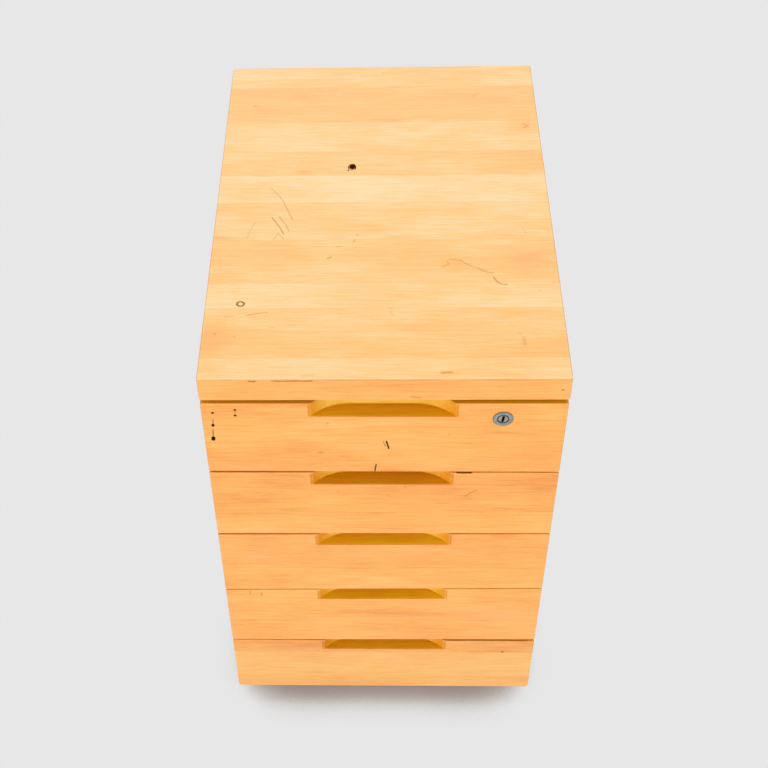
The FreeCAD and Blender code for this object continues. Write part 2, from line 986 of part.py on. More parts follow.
def make_fork():
    """Return a castor's fork: a round crown with two legs down to the axle."""
    crown_top = body_base - plate_thickness - race_height
    crown_bottom = crown_top - crown_thickness
    crown = rod(crown_diameter, Vector(0, 0, crown_bottom), Vector(0, 0, crown_top))
    inner = wheel_width / 2 + wheel_side_gap
    outer = inner + fork_leg_thickness
    leg_half = crown_diameter / 2 * fork_leg_share
    boss = fork_boss_diameter / 2
    axle_z = wheel_diameter / 2
    corners = [
        Vector(inner, -leg_half, crown_bottom + crown_thickness / 2),
        Vector(inner, leg_half, crown_bottom + crown_thickness / 2),
        Vector(inner, castor_trail + boss, axle_z),
        Vector(inner, castor_trail - boss, axle_z),
    ]
    leg = Part.Face(Part.makePolygon(corners + corners[:1])).extrude(Vector(outer - inner, 0, 0))
    centre_low = Vector(inner, castor_trail, axle_z)
    centre_high = Vector(outer, castor_trail, axle_z)
    leg = joined([leg, rod(fork_boss_diameter, centre_low, centre_high)])
    fork = joined([crown, leg, mirrored(leg)])
    stem_hole = rod(
        stem_diameter + 2 * stem_play,
        Vector(0, 0, crown_bottom - overrun),
        Vector(0, 0, crown_top + overrun),
    )
    axle_hole = rod(
        axle_diameter,
        Vector(-outer - overrun, castor_trail, axle_z),
        Vector(outer + overrun, castor_trail, axle_z),
    )
    return cut(fork, [stem_hole, axle_hole])


def make_wheel():
    """Return a castor's wheel, dished on both sides round its hub."""
    half = wheel_width / 2
    axle_z = wheel_diameter / 2
    wheel = rod(wheel_diameter, Vector(-half, castor_trail, axle_z), Vector(half, castor_trail, axle_z))
    wheel = wheel.makeFillet(wheel_edge_round, edges_where(wheel, lambda b: b.XLength < pick_tolerance))
    rim_inner = wheel_diameter - 2 * wheel_tyre_thickness
    tools = []
    for side in (-1, 1):
        face = Vector(side * half, castor_trail, axle_z)
        depth = Vector(side * (half - wheel_dish_depth), castor_trail, axle_z)
        beyond = Vector(side * (half + overrun), castor_trail, axle_z)
        dish = rod(rim_inner, depth, beyond)
        hub = rod(wheel_hub_diameter, depth, face)
        tools.append(cut(dish, [hub]))
    bore_start = Vector(-half - overrun, castor_trail, axle_z)
    bore_end = Vector(half + overrun, castor_trail, axle_z)
    tools.append(rod(axle_diameter + 2 * axle_play, bore_start, bore_end))
    return cut(wheel, tools)


def make_axle():
    """Return a castor's axle, riveted outside both legs of the fork."""
    outer = wheel_width / 2 + wheel_side_gap + fork_leg_thickness
    axle_z = wheel_diameter / 2
    tip = outer + axle_head_thickness
    outer_end = Vector(outer, castor_trail, axle_z)
    pin = rod(axle_diameter, Vector(-outer, castor_trail, axle_z), outer_end)
    head = rod(axle_head_diameter, outer_end, Vector(tip, castor_trail, axle_z))
    return joined([pin, head, mirrored(head)])


def moved(shape, place):
    """Return a copy of a shape at a place."""
    copy = shape.copy()
    copy.translate(place)
    return copy


def main():
    """Write every sub-part."""
    os.makedirs("parts", exist_ok=True)
    save("top_panel", make_top_panel())
    side = make_side_panel_right()
    save("side_panel_right", side)
    save("side_panel_left", mirrored(side))
    save("back_panel", make_back_panel())
    save("bottom_panel", make_bottom_panel())
    save("panel_dowels", make_panel_dowels())
    save("drawer_runners", make_drawer_runners())
    save("runner_screws", make_runner_screws())
    back_screws = wood_screws(back_screw_places(), Vector(0, -1, 0), back_screw_length)
    save("back_screws", Part.makeCompound(back_screws))
    save("lock_strike", make_strike())
    save("strike_screws", make_strike_screws())
    for number in range(1, drawer_count + 1):
        side = make_drawer_side_right(number)
        save(f"drawer_{number}_front", make_front(number))
        save(f"drawer_{number}_side_right", side)
        save(f"drawer_{number}_side_left", mirrored(side))
        save(f"drawer_{number}_back", make_drawer_back(number))
        save(f"drawer_{number}_floor", make_drawer_floor(number))
        save(f"drawer_{number}_divider", make_divider(number))
    save("lock_rosette", make_rosette())
    save("lock_case", make_case())
    save("lock_plug", make_plug())
    save("lock_bolt", make_bolt())
    save("lock_screws", make_lock_screws())
    plate = make_castor_plate()
    fork = make_fork()
    wheel = make_wheel()
    axle = make_axle()
    castor_screws = wood_screws(castor_screw_places(), Vector(0, 0, 1), castor_screw_length)
    save("castor_plates", Part.makeCompound([moved(plate, place) for name, place in castor_places()]))
    save("castor_screws", Part.makeCompound(castor_screws))
    for name, place in castor_places():
        save(f"castor_{name}_fork", moved(fork, place))
        save(f"castor_{name}_wheel", moved(wheel, place))
        save(f"castor_{name}_axle", moved(axle, place))


main()
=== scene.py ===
"""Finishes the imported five-drawer wooden pedestal and sets it in a plain pale studio.

Lengths are in metres: +Z is up, the drawers open towards -Y, and the origin is on the
floor under the centre of the body.
"""
import json
import math

import bmesh
import bpy
from mathutils import Matrix, Vector, noise

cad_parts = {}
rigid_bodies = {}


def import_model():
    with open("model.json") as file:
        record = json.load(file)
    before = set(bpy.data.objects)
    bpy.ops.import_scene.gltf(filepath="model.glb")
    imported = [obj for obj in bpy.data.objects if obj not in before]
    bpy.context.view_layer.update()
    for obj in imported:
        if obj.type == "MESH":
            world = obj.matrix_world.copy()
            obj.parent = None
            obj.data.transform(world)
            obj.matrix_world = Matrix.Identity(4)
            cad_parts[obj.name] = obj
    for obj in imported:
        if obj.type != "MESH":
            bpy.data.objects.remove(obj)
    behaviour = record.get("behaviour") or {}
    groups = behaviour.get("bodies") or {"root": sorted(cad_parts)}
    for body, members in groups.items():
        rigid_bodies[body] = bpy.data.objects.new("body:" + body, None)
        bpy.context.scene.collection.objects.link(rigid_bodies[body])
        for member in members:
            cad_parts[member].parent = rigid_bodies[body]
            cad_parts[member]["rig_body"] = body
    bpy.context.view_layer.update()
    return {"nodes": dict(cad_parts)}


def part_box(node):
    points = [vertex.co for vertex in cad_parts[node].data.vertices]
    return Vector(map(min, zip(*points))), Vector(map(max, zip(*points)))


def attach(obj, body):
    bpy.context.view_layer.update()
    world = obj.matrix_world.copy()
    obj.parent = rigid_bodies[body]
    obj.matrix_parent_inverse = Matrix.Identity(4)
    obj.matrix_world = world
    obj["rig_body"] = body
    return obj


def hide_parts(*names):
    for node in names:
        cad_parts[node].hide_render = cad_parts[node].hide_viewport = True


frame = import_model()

# Planes and levels read from the frame
TOP_LOW, TOP_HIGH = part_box("top_panel")
FRONT_PLANE = TOP_LOW.y
REAR_PLANE = TOP_HIGH.y
TOP_LEVEL = TOP_HIGH.z
HALF_WIDTH = TOP_HIGH.x
ROSETTE_LOW, ROSETTE_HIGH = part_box("lock_rosette")
LOCK_AXIS = (Vector(ROSETTE_LOW) + Vector(ROSETTE_HIGH)) / 2
ROSETTE_RADIUS = (ROSETTE_HIGH.x - ROSETTE_LOW.x) / 2

DRAWERS = (1, 2, 3, 4, 5)
CORNERS = ("front_left", "front_right", "rear_left", "rear_right")

# How far each front has settled off its true place, at its four corners: upper left,
# upper right, lower left, lower right. What lies deeper than its pull stays in place.
SETTLED = {
    1: (0.0003, -0.0010, 0.0005, -0.0017),
    2: (-0.0005, -0.0011, -0.0009, -0.0003),
    3: (-0.0017, -0.0001, -0.0016, 0.0024),
    4: (-0.0011, 0.0029, -0.0006, 0.0018),
    5: (0.0001, -0.0002, 0.0, 0.0),
}
SETTLED_DEPTH = 0.021

# Each finger pull: its height, how far its floor may fall behind the lip, how far its ends
# reach from the middle, and how far to the right of the middle it was cut
PULL_HEIGHT = 0.0205
PULL_FALL = 0.003
PULL_REACH = 0.0835
PULL_SHIFT = {1: -0.0006, 2: -0.0019, 3: 0.0001, 4: -0.0012, 5: 0.0010}

# The tones of a wood, and the colours that it has at them
TONES = (0.0, 0.36, 0.60, 1.0)
HONEY = ((0.80, 0.262, 0.032), (0.90, 0.368, 0.060), (0.93, 0.424, 0.088), (0.95, 0.510, 0.148))
# Painted shade: the lowest front's colours, dimmed in red as though less light fell on it
SHADED_HONEY = tuple((0.955 * red, green, blue) for red, green, blue in HONEY)
# Painted light: paler colours for the top's upper face, standing in for the brighter light and sheen that
# it gets
TOP_LIT_HONEY = ((0.87, 0.357, 0.046), (0.91, 0.428, 0.060), (0.93, 0.492, 0.127), (0.95, 0.595, 0.264))
PALE_BIRCH = ((0.62, 0.40, 0.20), (0.78, 0.56, 0.31), (0.83, 0.64, 0.39), (0.88, 0.72, 0.48))
BEECH = ((0.50, 0.26, 0.12), (0.66, 0.38, 0.19), (0.72, 0.45, 0.24), (0.80, 0.54, 0.31))

# The layers of every wood's grain: cells per metre along the grain, across it and through
# it, then detail, roughness and warp; and how strongly each layer shows in the tone
STREAKS = ((3.0, 170.0, 170.0), 4.0, 0.62, 0.25)
STREAK_STRENGTH = 0.42
CLOUDS = ((8.0, 26.0, 26.0), 2.5, 0.5)
CLOUD_STRENGTH = 0.88
FIBRES = ((24.0, 430.0, 430.0), 3.0, 0.65)
FIBRE_STRENGTH = 1.25
FLECKS = ((60.0, 800.0, 800.0), 1.0)
FLECK_STRENGTH = 0.20
WARMTH = ((3.0, 14.0, 14.0), 1.0)
WARMTH_STRENGTH = 0.10

# Growth rings: their number per metre, how far the pith lies off a board's middle and below
# its face, and how they wander along the grain
RINGS_PER_METRE = 310.0
PITH_SPREAD = 0.09
PITH_DEPTH = 0.02
WANDER = ((2.2, 9.0, 9.0), 2.0)
WANDER_REACH = 0.030

# Glued boards: the joint line's width and strength, the step between the draws of two
# boards, and how far apart their grain is taken
JOINT_WIDTH = 0.0004
JOINT_STRENGTH = 0.40
BOARD_STEP = 91.7
BOARD_SHIFT = 5.0
PLY_STRENGTH = 0.30

# Marks: their brown and black, how far a stroke shakes, and the cells of that per metre
BROWN = (0.20, 0.082, 0.006)
# The black also paints shade, in the knot hole and in two gaps between fronts
GRIME_AND_SHADE = (0.045, 0.017, 0.001)
SHAKE = 0.0013
SHAKE_CELLS = 330.0

# Painted light and shade on the lacquer: shade on the floors of the pulls and on the edges
# behind the front plane, light and shade on the pull's wall from its upright arrises to its
# back, and shade along the arrises of the top
PULL_SHADE = {
    1: (0.74, 0.79, 0.004, 1.0),
    2: (0.69, 0.76, 0.008, 1.0),
    3: (0.80, 1.01, 0.06, 1.0),
    4: (0.75, 0.88, 0.012, 1.0),
    5: (0.76, 0.89, 0.035, 1.0),
}
WALL_DEPTH = 0.020
# Painted light and shade on a pull's wall, by depth behind the front plane: darker near its upright
# arrises, brighter at its back
WALL_LIGHT_AND_SHADE = [
    (0.0, (0.76, 0.62, 0.02)),
    (0.010, (0.76, 0.62, 0.02)),
    (0.025, (0.88, 0.76, 0.02)),
    (0.115, (0.88, 0.76, 0.02)),
    (0.15, (0.93, 0.86, 0.20)),
    (0.30, (0.94, 0.92, 0.24)),
    (0.75, (1.05, 1.48, 1.15)),
]
# Painted shade on a front's top edge, seen through the gap under the part above it
EDGE_SHADE = (0.80, 0.84, 0.04, 1.0)
# Painted shade on the top's arris and on its side and back rims
ARRIS_SHADE = (0.86, 0.80, 0.72, 1.0)

# Where that painted light and shade starts and ends: above a pull's lip, about a front's top
# edge, behind the front plane, beside a pull, and inside the side edges
LIP_RISE = 0.0007
EDGE_LEVELS = (-0.0016, 0.0030)
WALL_START = (0.00002, 0.00010)
TINT_START = (0.0006, 0.0020)
PULL_SIDES = (0.087, 0.089)
SIDE_SKIN = (-0.0012, -0.0004)

# Zones of the top, from its upper face, its front plane, its sides and its back: the face
# paled as painted light, the arris tinted as painted shade, the strip along the front painted
# as a highlight, and the rims darkened as painted shade
FACE_SKIN = (-0.0010, -0.0003)
FACE_START = (0.0008, 0.0015)
ARRIS_SKIN = (-0.0018, -0.0012)
# Painted highlight: a pale strip along the top's front, where its arris catches the light
HIGHLIGHT_END = (0.0028, 0.0040)
HIGHLIGHT_SHARE = 0.16
PAINTED_HIGHLIGHT = (1.0, 0.86, 0.55, 1.0)
SIDE_RIM = (-0.0018, -0.0006)
REAR_RIM = (-0.0026, -0.0010)
RIM_SHARE = 0.8

# The keyway, painted black on the lock's plug as the shade in its slot: half its length, its
# lean in degrees, and where its rim starts and ends
KEYWAY_HALF = 0.0034
KEYWAY_LEAN = 8
KEYWAY_RIM = (0.0013, 0.0019)

# Vertices closer than this are one
DOUBLES = 1e-6

# Grey of the backdrop, and the colours of the floor from closed in to open
GREY = 0.80
FLOOR_SHADE = [
    (0.0, (0.10, 0.07, 0.06)),
    (0.41, (0.342, 0.270, 0.242)),
    (0.485, (0.418, 0.366, 0.337)),
    (0.555, (0.539, 0.497, 0.474)),
    (0.62, (0.694, 0.679, 0.658)),
    (0.69, (0.776, 0.776, 0.780)),
    (0.76, (GREY, GREY, GREY)),
]


class Graph:
    """A node tree whose nodes are added one at a time."""

    def __init__(self, tree):
        self.tree = tree

    def node(self, kind, sockets=None, **settings):
        """Add a node, with its settings and with values or links for its sockets."""
        made = self.tree.nodes.new(kind)
        for name, value in settings.items():
            setattr(made, name, value)
        for socket, value in (sockets or {}).items():
            self.feed(made.inputs[socket], value)
        return made

    def feed(self, socket, value):
        """Link a socket to another, or set its value."""
        if isinstance(value, bpy.types.NodeSocket):
            self.tree.links.new(value, socket)
        else:
            socket.default_value = value

    def calc(self, kind, first, second=0.0):
        """Return the result of one sum."""
        return self.node("ShaderNodeMath", {0: first, 1: second}, operation=kind).outputs[0]

    def point(self, x, y, z=0.0):
        """Return a vector from its parts."""
        return self.node("ShaderNodeCombineXYZ", {0: x, 1: y, 2: z}).outputs[0]

    def looked_at(self):
        """Return 1 for a ray that shows the thing itself, and 0 for one that only lights."""
        path = self.node("ShaderNodeLightPath").outputs
        seen = self.calc("MAXIMUM", path["Is Camera Ray"], path["Is Glossy Ray"])
        return self.calc("MAXIMUM", seen, path["Is Transmission Ray"])


class Finish(Graph):
    """A material's tree."""

    def __init__(self, name):
        self.material = bpy.data.materials.new(name)
        self.material.use_nodes = True
        super().__init__(self.material.node_tree)
        self.shader = self.tree.nodes["Principled BSDF"]
        self.place = self.node("ShaderNodeTexCoord").outputs["Object"]

    def surface(self, **values):
        """Feed the shader's own sockets."""
        for name, value in values.items():
            self.feed(self.shader.inputs[name.replace("_", " ")], value)

    def vector(self, kind, first, second=(0.0, 0.0, 0.0)):
        """Return the result of one sum on vectors."""
        return self.node("ShaderNodeVectorMath", {0: first, 1: second}, operation=kind).outputs[0]

    def length(self, value):
        """Return a vector's length."""
        return self.node("ShaderNodeVectorMath", {0: value}, operation="LENGTH").outputs["Value"]

    def channels(self, colour):
        """Return a colour's three channels."""
        return self.node("ShaderNodeSeparateColor", {0: colour}).outputs

    def span(self, value, low, high, from_value=0.0, to_value=1.0):
        """Return a value eased from one range into another."""
        sockets = {0: value, 1: low, 2: high, 3: from_value, 4: to_value}
        return self.node("ShaderNodeMapRange", sockets, interpolation_type="SMOOTHSTEP").outputs[0]

    def past(self, value, plane, limits, from_value=0.0, to_value=1.0):
        """Return a value eased between two limits that are counted from a plane."""
        return self.span(value, plane + limits[0], plane + limits[1], from_value, to_value)

    def between(self, value, low, high):
        """Return 1 where a value lies between two others."""
        soft = (-0.0004, 0.0004)
        return self.calc("MULTIPLY", self.past(value, low, soft), self.past(value, high, soft, 1.0, 0.0))

    def noise(self, place, cells, detail=2.0, rough=0.5, warp=0.0, colour=False):
        """Return noise whose cells for each metre are given along each axis."""
        sockets = {
            "Vector": self.vector("MULTIPLY", place, cells),
            "Scale": 1.0,
            "Detail": detail,
            "Roughness": rough,
            "Distortion": warp,
        }
        return self.node("ShaderNodeTexNoise", sockets).outputs["Color" if colour else "Fac"]

    def sway(self, value, by, amount):
        """Return a value raised or lowered by what another is over or under a half."""
        return self.calc("ADD", value, self.calc("MULTIPLY", self.calc("SUBTRACT", by, 0.5), amount))

    def ramp(self, value, stops, constant=False):
        """Return the colour that a value has between stops."""
        made = self.node("ShaderNodeValToRGB", {0: value})
        band = made.color_ramp
        band.interpolation = "CONSTANT" if constant else "LINEAR"
        while len(band.elements) < len(stops):
            band.elements.new(1.0)
        for element, (position, colour) in zip(band.elements, stops):
            element.position = position
            element.color = (*colour, 1.0)
        return made.outputs["Color"]

    def blend(self, factor, first, second, kind="MIX"):
        """Return two colours mixed."""
        sockets = {0: factor, 6: first, 7: second}
        return self.node("ShaderNodeMix", sockets, data_type="RGBA", blend_type=kind).outputs[2]

    def tinted(self, factor, colour, tint):
        """Return a colour that is multiplied by a tint where the factor is 1."""
        return self.blend(factor, colour, self.blend(1.0, colour, tint, "MULTIPLY"))

    def bump(self, height, strength, distance):
        """Return a normal raised by a height."""
        sockets = {"Height": height, "Strength": strength, "Distance": distance}
        return self.node("ShaderNodeBump", sockets).outputs["Normal"]

    def patch(self, centre, length, width):
        """Return 1 at the middle of a soft patch on the top, fading to 0 at its rim."""
        sockets = {"Vector": self.place, "Location": centre, "Scale": (length / 2, width / 2, 0.04)}
        local = self.node("ShaderNodeMapping", sockets, vector_type="TEXTURE").outputs[0]
        return self.span(self.length(local), 0.0, 1.0, 1.0, 0.0)

    def off_stroke(self, place, points):
        """Return the distance from a stroke that runs through some points."""
        nearest = None
        for start, end in list(zip(points, points[1:])) or [(points[0], points[0])]:
            run = end - start
            away = self.vector("SUBTRACT", place, start)
            if run.length > 0:
                along = {0: away, 1: run / run.length_squared}
                share = self.node("ShaderNodeVectorMath", along, operation="DOT_PRODUCT").outputs["Value"]
                share = self.node("ShaderNodeClamp", {0: share}).outputs[0]
                foot = self.node("ShaderNodeVectorMath", {0: run, "Scale": share}, operation="SCALE")
                away = self.vector("SUBTRACT", away, foot.outputs[0])
            off = self.length(away)
            nearest = off if nearest is None else self.calc("MINIMUM", nearest, off)
        return nearest


class Wood(Finish):
    """The tree of a lacquered wood, built up layer by layer."""

    def __init__(self, name, grain):
        """Name the axes along the grain, across the boards and through them."""
        super().__init__(name)
        self.axes = self.node("ShaderNodeSeparateXYZ", {0: self.place}).outputs
        self.along, self.across, self.through = (self.axes[axis] for axis in grain)
        self.coat = 0.5
        self.metallic = 0.0

    def lay_boards(self, limits, tones, seed):
        """Lay glued boards between the limits, each with its tone and its own grain."""
        whole = limits[-1] - limits[0]
        stops = []
        for i, tone in enumerate(tones):
            middle = ((limits[i] + limits[i + 1]) / 2 - limits[0]) / whole
            stops.append(((limits[i] - limits[0]) / whole, (tone, (i + 0.5) / len(tones), middle)))
        share = self.calc("DIVIDE", self.calc("SUBTRACT", self.across, limits[0]), whole)
        self.tone, number, middle = self.channels(self.ramp(share, stops, constant=True))
        next_board = self.ramp(self.calc("ADD", share, JOINT_WIDTH / whole), stops, constant=True)
        step = self.calc("SUBTRACT", self.channels(next_board)[1], number)
        self.joint = self.calc("GREATER_THAN", self.calc("ABSOLUTE", step), 0.01)
        middle = self.calc("ADD", self.calc("MULTIPLY", middle, whole), limits[0])
        self.off_middle = self.calc("SUBTRACT", self.across, middle)
        draw = {"W": self.calc("ADD", self.calc("MULTIPLY", number, BOARD_STEP), seed)}
        self.chance = self.node("ShaderNodeTexWhiteNoise", draw, noise_dimensions="1D").outputs["Color"]
        fibre = self.point(self.along, self.across, self.through)
        self.fibre = self.vector("ADD", fibre, self.vector("MULTIPLY", self.chance, (BOARD_SHIFT,) * 3))

    def grow_grain(self, figure):
        """Vary the tone by rings, as strong as the figure, and by the finer layers of the grain."""
        drawn = self.channels(self.chance)
        off_pith = self.sway(self.off_middle, drawn[0], PITH_SPREAD)
        pith_depth = self.calc("ADD", self.calc("MULTIPLY", drawn[1], PITH_SPREAD), PITH_DEPTH)
        ring_place = self.point(off_pith, self.calc("ADD", self.through, pith_depth))
        wander = self.calc("MULTIPLY", self.noise(self.fibre, *WANDER), WANDER_REACH)
        radius = self.calc("ADD", self.length(ring_place), wander)
        sockets = {
            "W": self.calc("ADD", radius, drawn[2]),
            "Scale": RINGS_PER_METRE,
            "Detail": 1.5,
            "Roughness": 0.6,
        }
        rings = self.node("ShaderNodeTexNoise", sockets, noise_dimensions="1D").outputs["Fac"]
        self.streaks = self.noise(self.fibre, *STREAKS)
        flecks = self.span(self.noise(self.fibre, *FLECKS), 0.64, 0.76)
        self.tone = self.sway(self.tone, rings, figure)
        self.tone = self.sway(self.tone, self.streaks, STREAK_STRENGTH)
        self.tone = self.sway(self.tone, self.noise(self.fibre, *CLOUDS), CLOUD_STRENGTH)
        self.tone = self.sway(self.tone, self.noise(self.fibre, *FIBRES), FIBRE_STRENGTH)
        self.tone = self.calc("SUBTRACT", self.tone, self.calc("MULTIPLY", flecks, FLECK_STRENGTH))
        raised = self.calc("ADD", self.streaks, self.calc("MULTIPLY", rings, 0.4))
        self.relief = self.calc("SUBTRACT", raised, flecks)

    def vary_tone(self, tints, ply):
        """Warm or pale soft patches, and draw the joints and the layers of plywood."""
        for centre, length, width, amount in tints:
            change = self.calc("MULTIPLY", self.patch(centre, length, width), amount)
            self.tone = self.calc("ADD", self.tone, change)
        self.tone = self.calc("SUBTRACT", self.tone, self.calc("MULTIPLY", self.joint, JOINT_STRENGTH))
        if ply:
            layer = self.calc("PINGPONG", self.calc("ADD", self.through, 10.0), ply)
            layer = self.span(layer, 0.62 * ply, 0.8 * ply, 0.0, PLY_STRENGTH)
            self.tone = self.calc("SUBTRACT", self.tone, layer)

    def lacquer(self, colours, gloss):
        """Turn the tone into colour, warmed here and there, and make the streaks rougher."""
        colour = self.ramp(self.tone, list(zip(TONES, colours)))
        warmth = self.noise(self.fibre, *WARMTH, colour=True)
        self.colour = self.blend(WARMTH_STRENGTH, colour, warmth, "OVERLAY")
        self.roughness = self.calc("ADD", self.calc("MULTIPLY", self.streaks, 0.10), gloss - 0.05)

    def paint_pull_shade(self, floor, edge, tint, rise, slope):
        """Paint shade on a front's pull floor and top edge, and light and shade on its pull's wall.

        floor and edge hold the levels of the pull's floor and of the front's top edge, and
        tint is the floor's painted shade. The front has settled by a rise in the middle and by
        a slope, per metre to the right.
        """
        x, y, z = self.axes
        aside = self.calc("ABSOLUTE", x)
        depth = self.calc("SUBTRACT", y, FRONT_PLANE)
        level = self.calc("SUBTRACT", z, self.calc("ADD", self.calc("MULTIPLY", x, slope), rise))
        wall = self.calc("MULTIPLY", self.between(level, floor[1], edge[0]), self.span(depth, *WALL_START))
        wall = self.calc("MULTIPLY", wall, self.span(aside, *PULL_SIDES, 1.0, 0.0))
        # Painted light and shade on the pull's wall, darker at its ends and brighter at its back
        wall_light_and_shade = self.ramp(self.calc("DIVIDE", depth, WALL_DEPTH), WALL_LIGHT_AND_SHADE)
        self.colour = self.tinted(wall, self.colour, wall_light_and_shade)
        behind = self.span(depth, *TINT_START)
        # Painted shade on the pull's floor and on the front's top edge
        below = self.calc("MULTIPLY", self.between(level, *floor), behind)
        self.colour = self.tinted(below, self.colour, tint)
        above = self.calc("MULTIPLY", self.between(level, *edge), behind)
        above = self.calc("MULTIPLY", above, self.past(aside, HALF_WIDTH, SIDE_SKIN, 1.0, 0.0))
        self.colour = self.tinted(above, self.colour, EDGE_SHADE)
        hidden = self.calc("MAXIMUM", self.calc("MAXIMUM", below, above), wall)
        # The coat is left off where shade is painted
        self.coat = self.calc("MULTIPLY", self.calc("SUBTRACT", 1.0, hidden), self.coat)

    def fade(self, colours):
        """Paint light on the top: a paler upper face, palest along its front as a highlight.

        Its arris and rims are darkened as painted shade.
        """
        x, y, z = self.axes
        high = self.past(z, TOP_LEVEL, FACE_SKIN)
        back = self.past(y, FRONT_PLANE, FACE_START)
        # Painted shade on the rounded front arris
        arris = self.calc("MULTIPLY", self.past(z, TOP_LEVEL, ARRIS_SKIN), self.calc("SUBTRACT", 1.0, back))
        self.colour = self.tinted(arris, self.colour, ARRIS_SHADE)
        upper = self.calc("MULTIPLY", high, back)
        # Painted light: the upper face takes the paler colours
        self.colour = self.blend(upper, self.colour, self.ramp(self.tone, list(zip(TONES, colours))))
        # Painted highlight along the front of the upper face
        highlight = self.past(y, FRONT_PLANE, HIGHLIGHT_END, HIGHLIGHT_SHARE, 0.0)
        self.colour = self.blend(self.calc("MULTIPLY", upper, highlight), self.colour, PAINTED_HIGHLIGHT)
        # Painted shade along the side and back rims of the upper face
        flank = self.past(self.calc("ABSOLUTE", x), HALF_WIDTH, SIDE_RIM)
        rim = self.calc("MAXIMUM", flank, self.past(y, REAR_PLANE, REAR_RIM))
        rim = self.calc("MULTIPLY", self.calc("MULTIPLY", rim, high), RIM_SHARE)
        self.colour = self.tinted(rim, self.colour, ARRIS_SHADE)

    def stain_and_shade(self, marks):
        """Draw strokes of grime and painted shade, dull and without lacquer. The metallic input keeps them
        dark.
        """
        shaky = self.noise(self.place, (SHAKE_CELLS,) * 3, 2.0, colour=True)
        shaky = self.vector("MULTIPLY", self.vector("SUBTRACT", shaky, (0.5,) * 3), (SHAKE,) * 3)
        shaky = self.vector("ADD", self.place, shaky)
        stain_and_shade = None
        for points, width, strength, soft in marks:
            off = self.off_stroke(shaky, points)
            mark = self.span(off, (1.0 - soft) * width / 2, width / 2, strength, 0.0)
            stain_and_shade = mark if stain_and_shade is None else self.calc("MAXIMUM", stain_and_shade, mark)
        self.colour = self.blend(stain_and_shade, self.colour, self.ramp(stain_and_shade, [(0.60, BROWN), (0.95, GRIME_AND_SHADE)]))
        self.roughness = self.calc("ADD", self.roughness, self.calc("MULTIPLY", stain_and_shade, 0.40))
        self.coat = self.calc("MULTIPLY", self.calc("SUBTRACT", 1.0, stain_and_shade), self.coat)
        self.metallic = stain_and_shade


def on_top(x, inset):
    """Return a point of the top face by its distance behind the front edge, given in millimetres."""
    return Vector((x / 1000, FRONT_PLANE + inset / 1000, TOP_LEVEL))


def on_front(x, level, depth=0.0):
    """Return a point behind the front plane by its height above the floor, given in millimetres."""
    return Vector((x / 1000, FRONT_PLANE + depth / 1000, level / 1000))


def in_knot(x, y):
    """Return a point in the knot hole by its place from the hole's middle."""
    return KNOT + Vector((x, y, -0.0010))


def drawn(place, strokes):
    """Return marks whose strokes run through points that a function places."""
    return [([place(*point) for point in points], *rest) for points, *rest in strokes]


def wood(name, grain, boards, colours=HONEY, seed=0.0, tints=(), marks=(), figure=0.26, gloss=0.38,
         ply=0.0, top_light=(), pull_shade=()):
    """Return a lacquered wood.

    grain names the axes along the grain, across the boards and through them. boards holds
    the limits of the glued boards and the tone of each. A tint warms or pales a soft patch,
    a mark is a stroke of grime, some of which paint shade, and ply is the thickness of a
    layer of plywood. faded holds the paler colours painted on an upper face in place of its
    brighter light and sheen, and sheltered what Wood.shelter takes to paint shade on a front.
    """
    made = Wood(name, grain)
    made.lay_boards(*boards, seed)
    made.grow_grain(figure)
    made.vary_tone(tints, ply)
    made.lacquer(colours, gloss)
    if pull_shade:
        made.paint_pull_shade(*pull_shade)
    if top_light:
        made.fade(top_light)
    if marks:
        made.stain_and_shade(marks)
    made.surface(
        Base_Color=made.colour,
        Roughness=made.roughness,
        Metallic=made.metallic,
        Coat_Weight=made.coat,
        Coat_Roughness=0.16,
        Normal=made.bump(made.relief, 0.10, 0.0006),
    )
    return made.material


def metal(name, colour, gloss, turned=0.0):
    """Return a plated metal, with fine scratches and a little dullness in patches."""
    metal = Finish(name)
    patches = metal.noise(metal.place, (90.0,) * 3, 3.0)
    scratches = metal.noise(metal.place, (300.0, 300.0, 2600.0), 3.0, 0.7)
    worn = metal.calc("ADD", metal.calc("MULTIPLY", patches, 0.16), metal.calc("MULTIPLY", scratches, 0.14))
    darker = tuple(0.72 * value for value in colour)
    metal.surface(
        Base_Color=metal.blend(metal.span(patches, 0.35, 0.7), (*colour, 1.0), (*darker, 1.0)),
        Roughness=metal.calc("ADD", worn, gloss - 0.15),
        Metallic=1.0,
        Normal=metal.bump(scratches, 0.06, 0.0002),
    )
    return metal.material


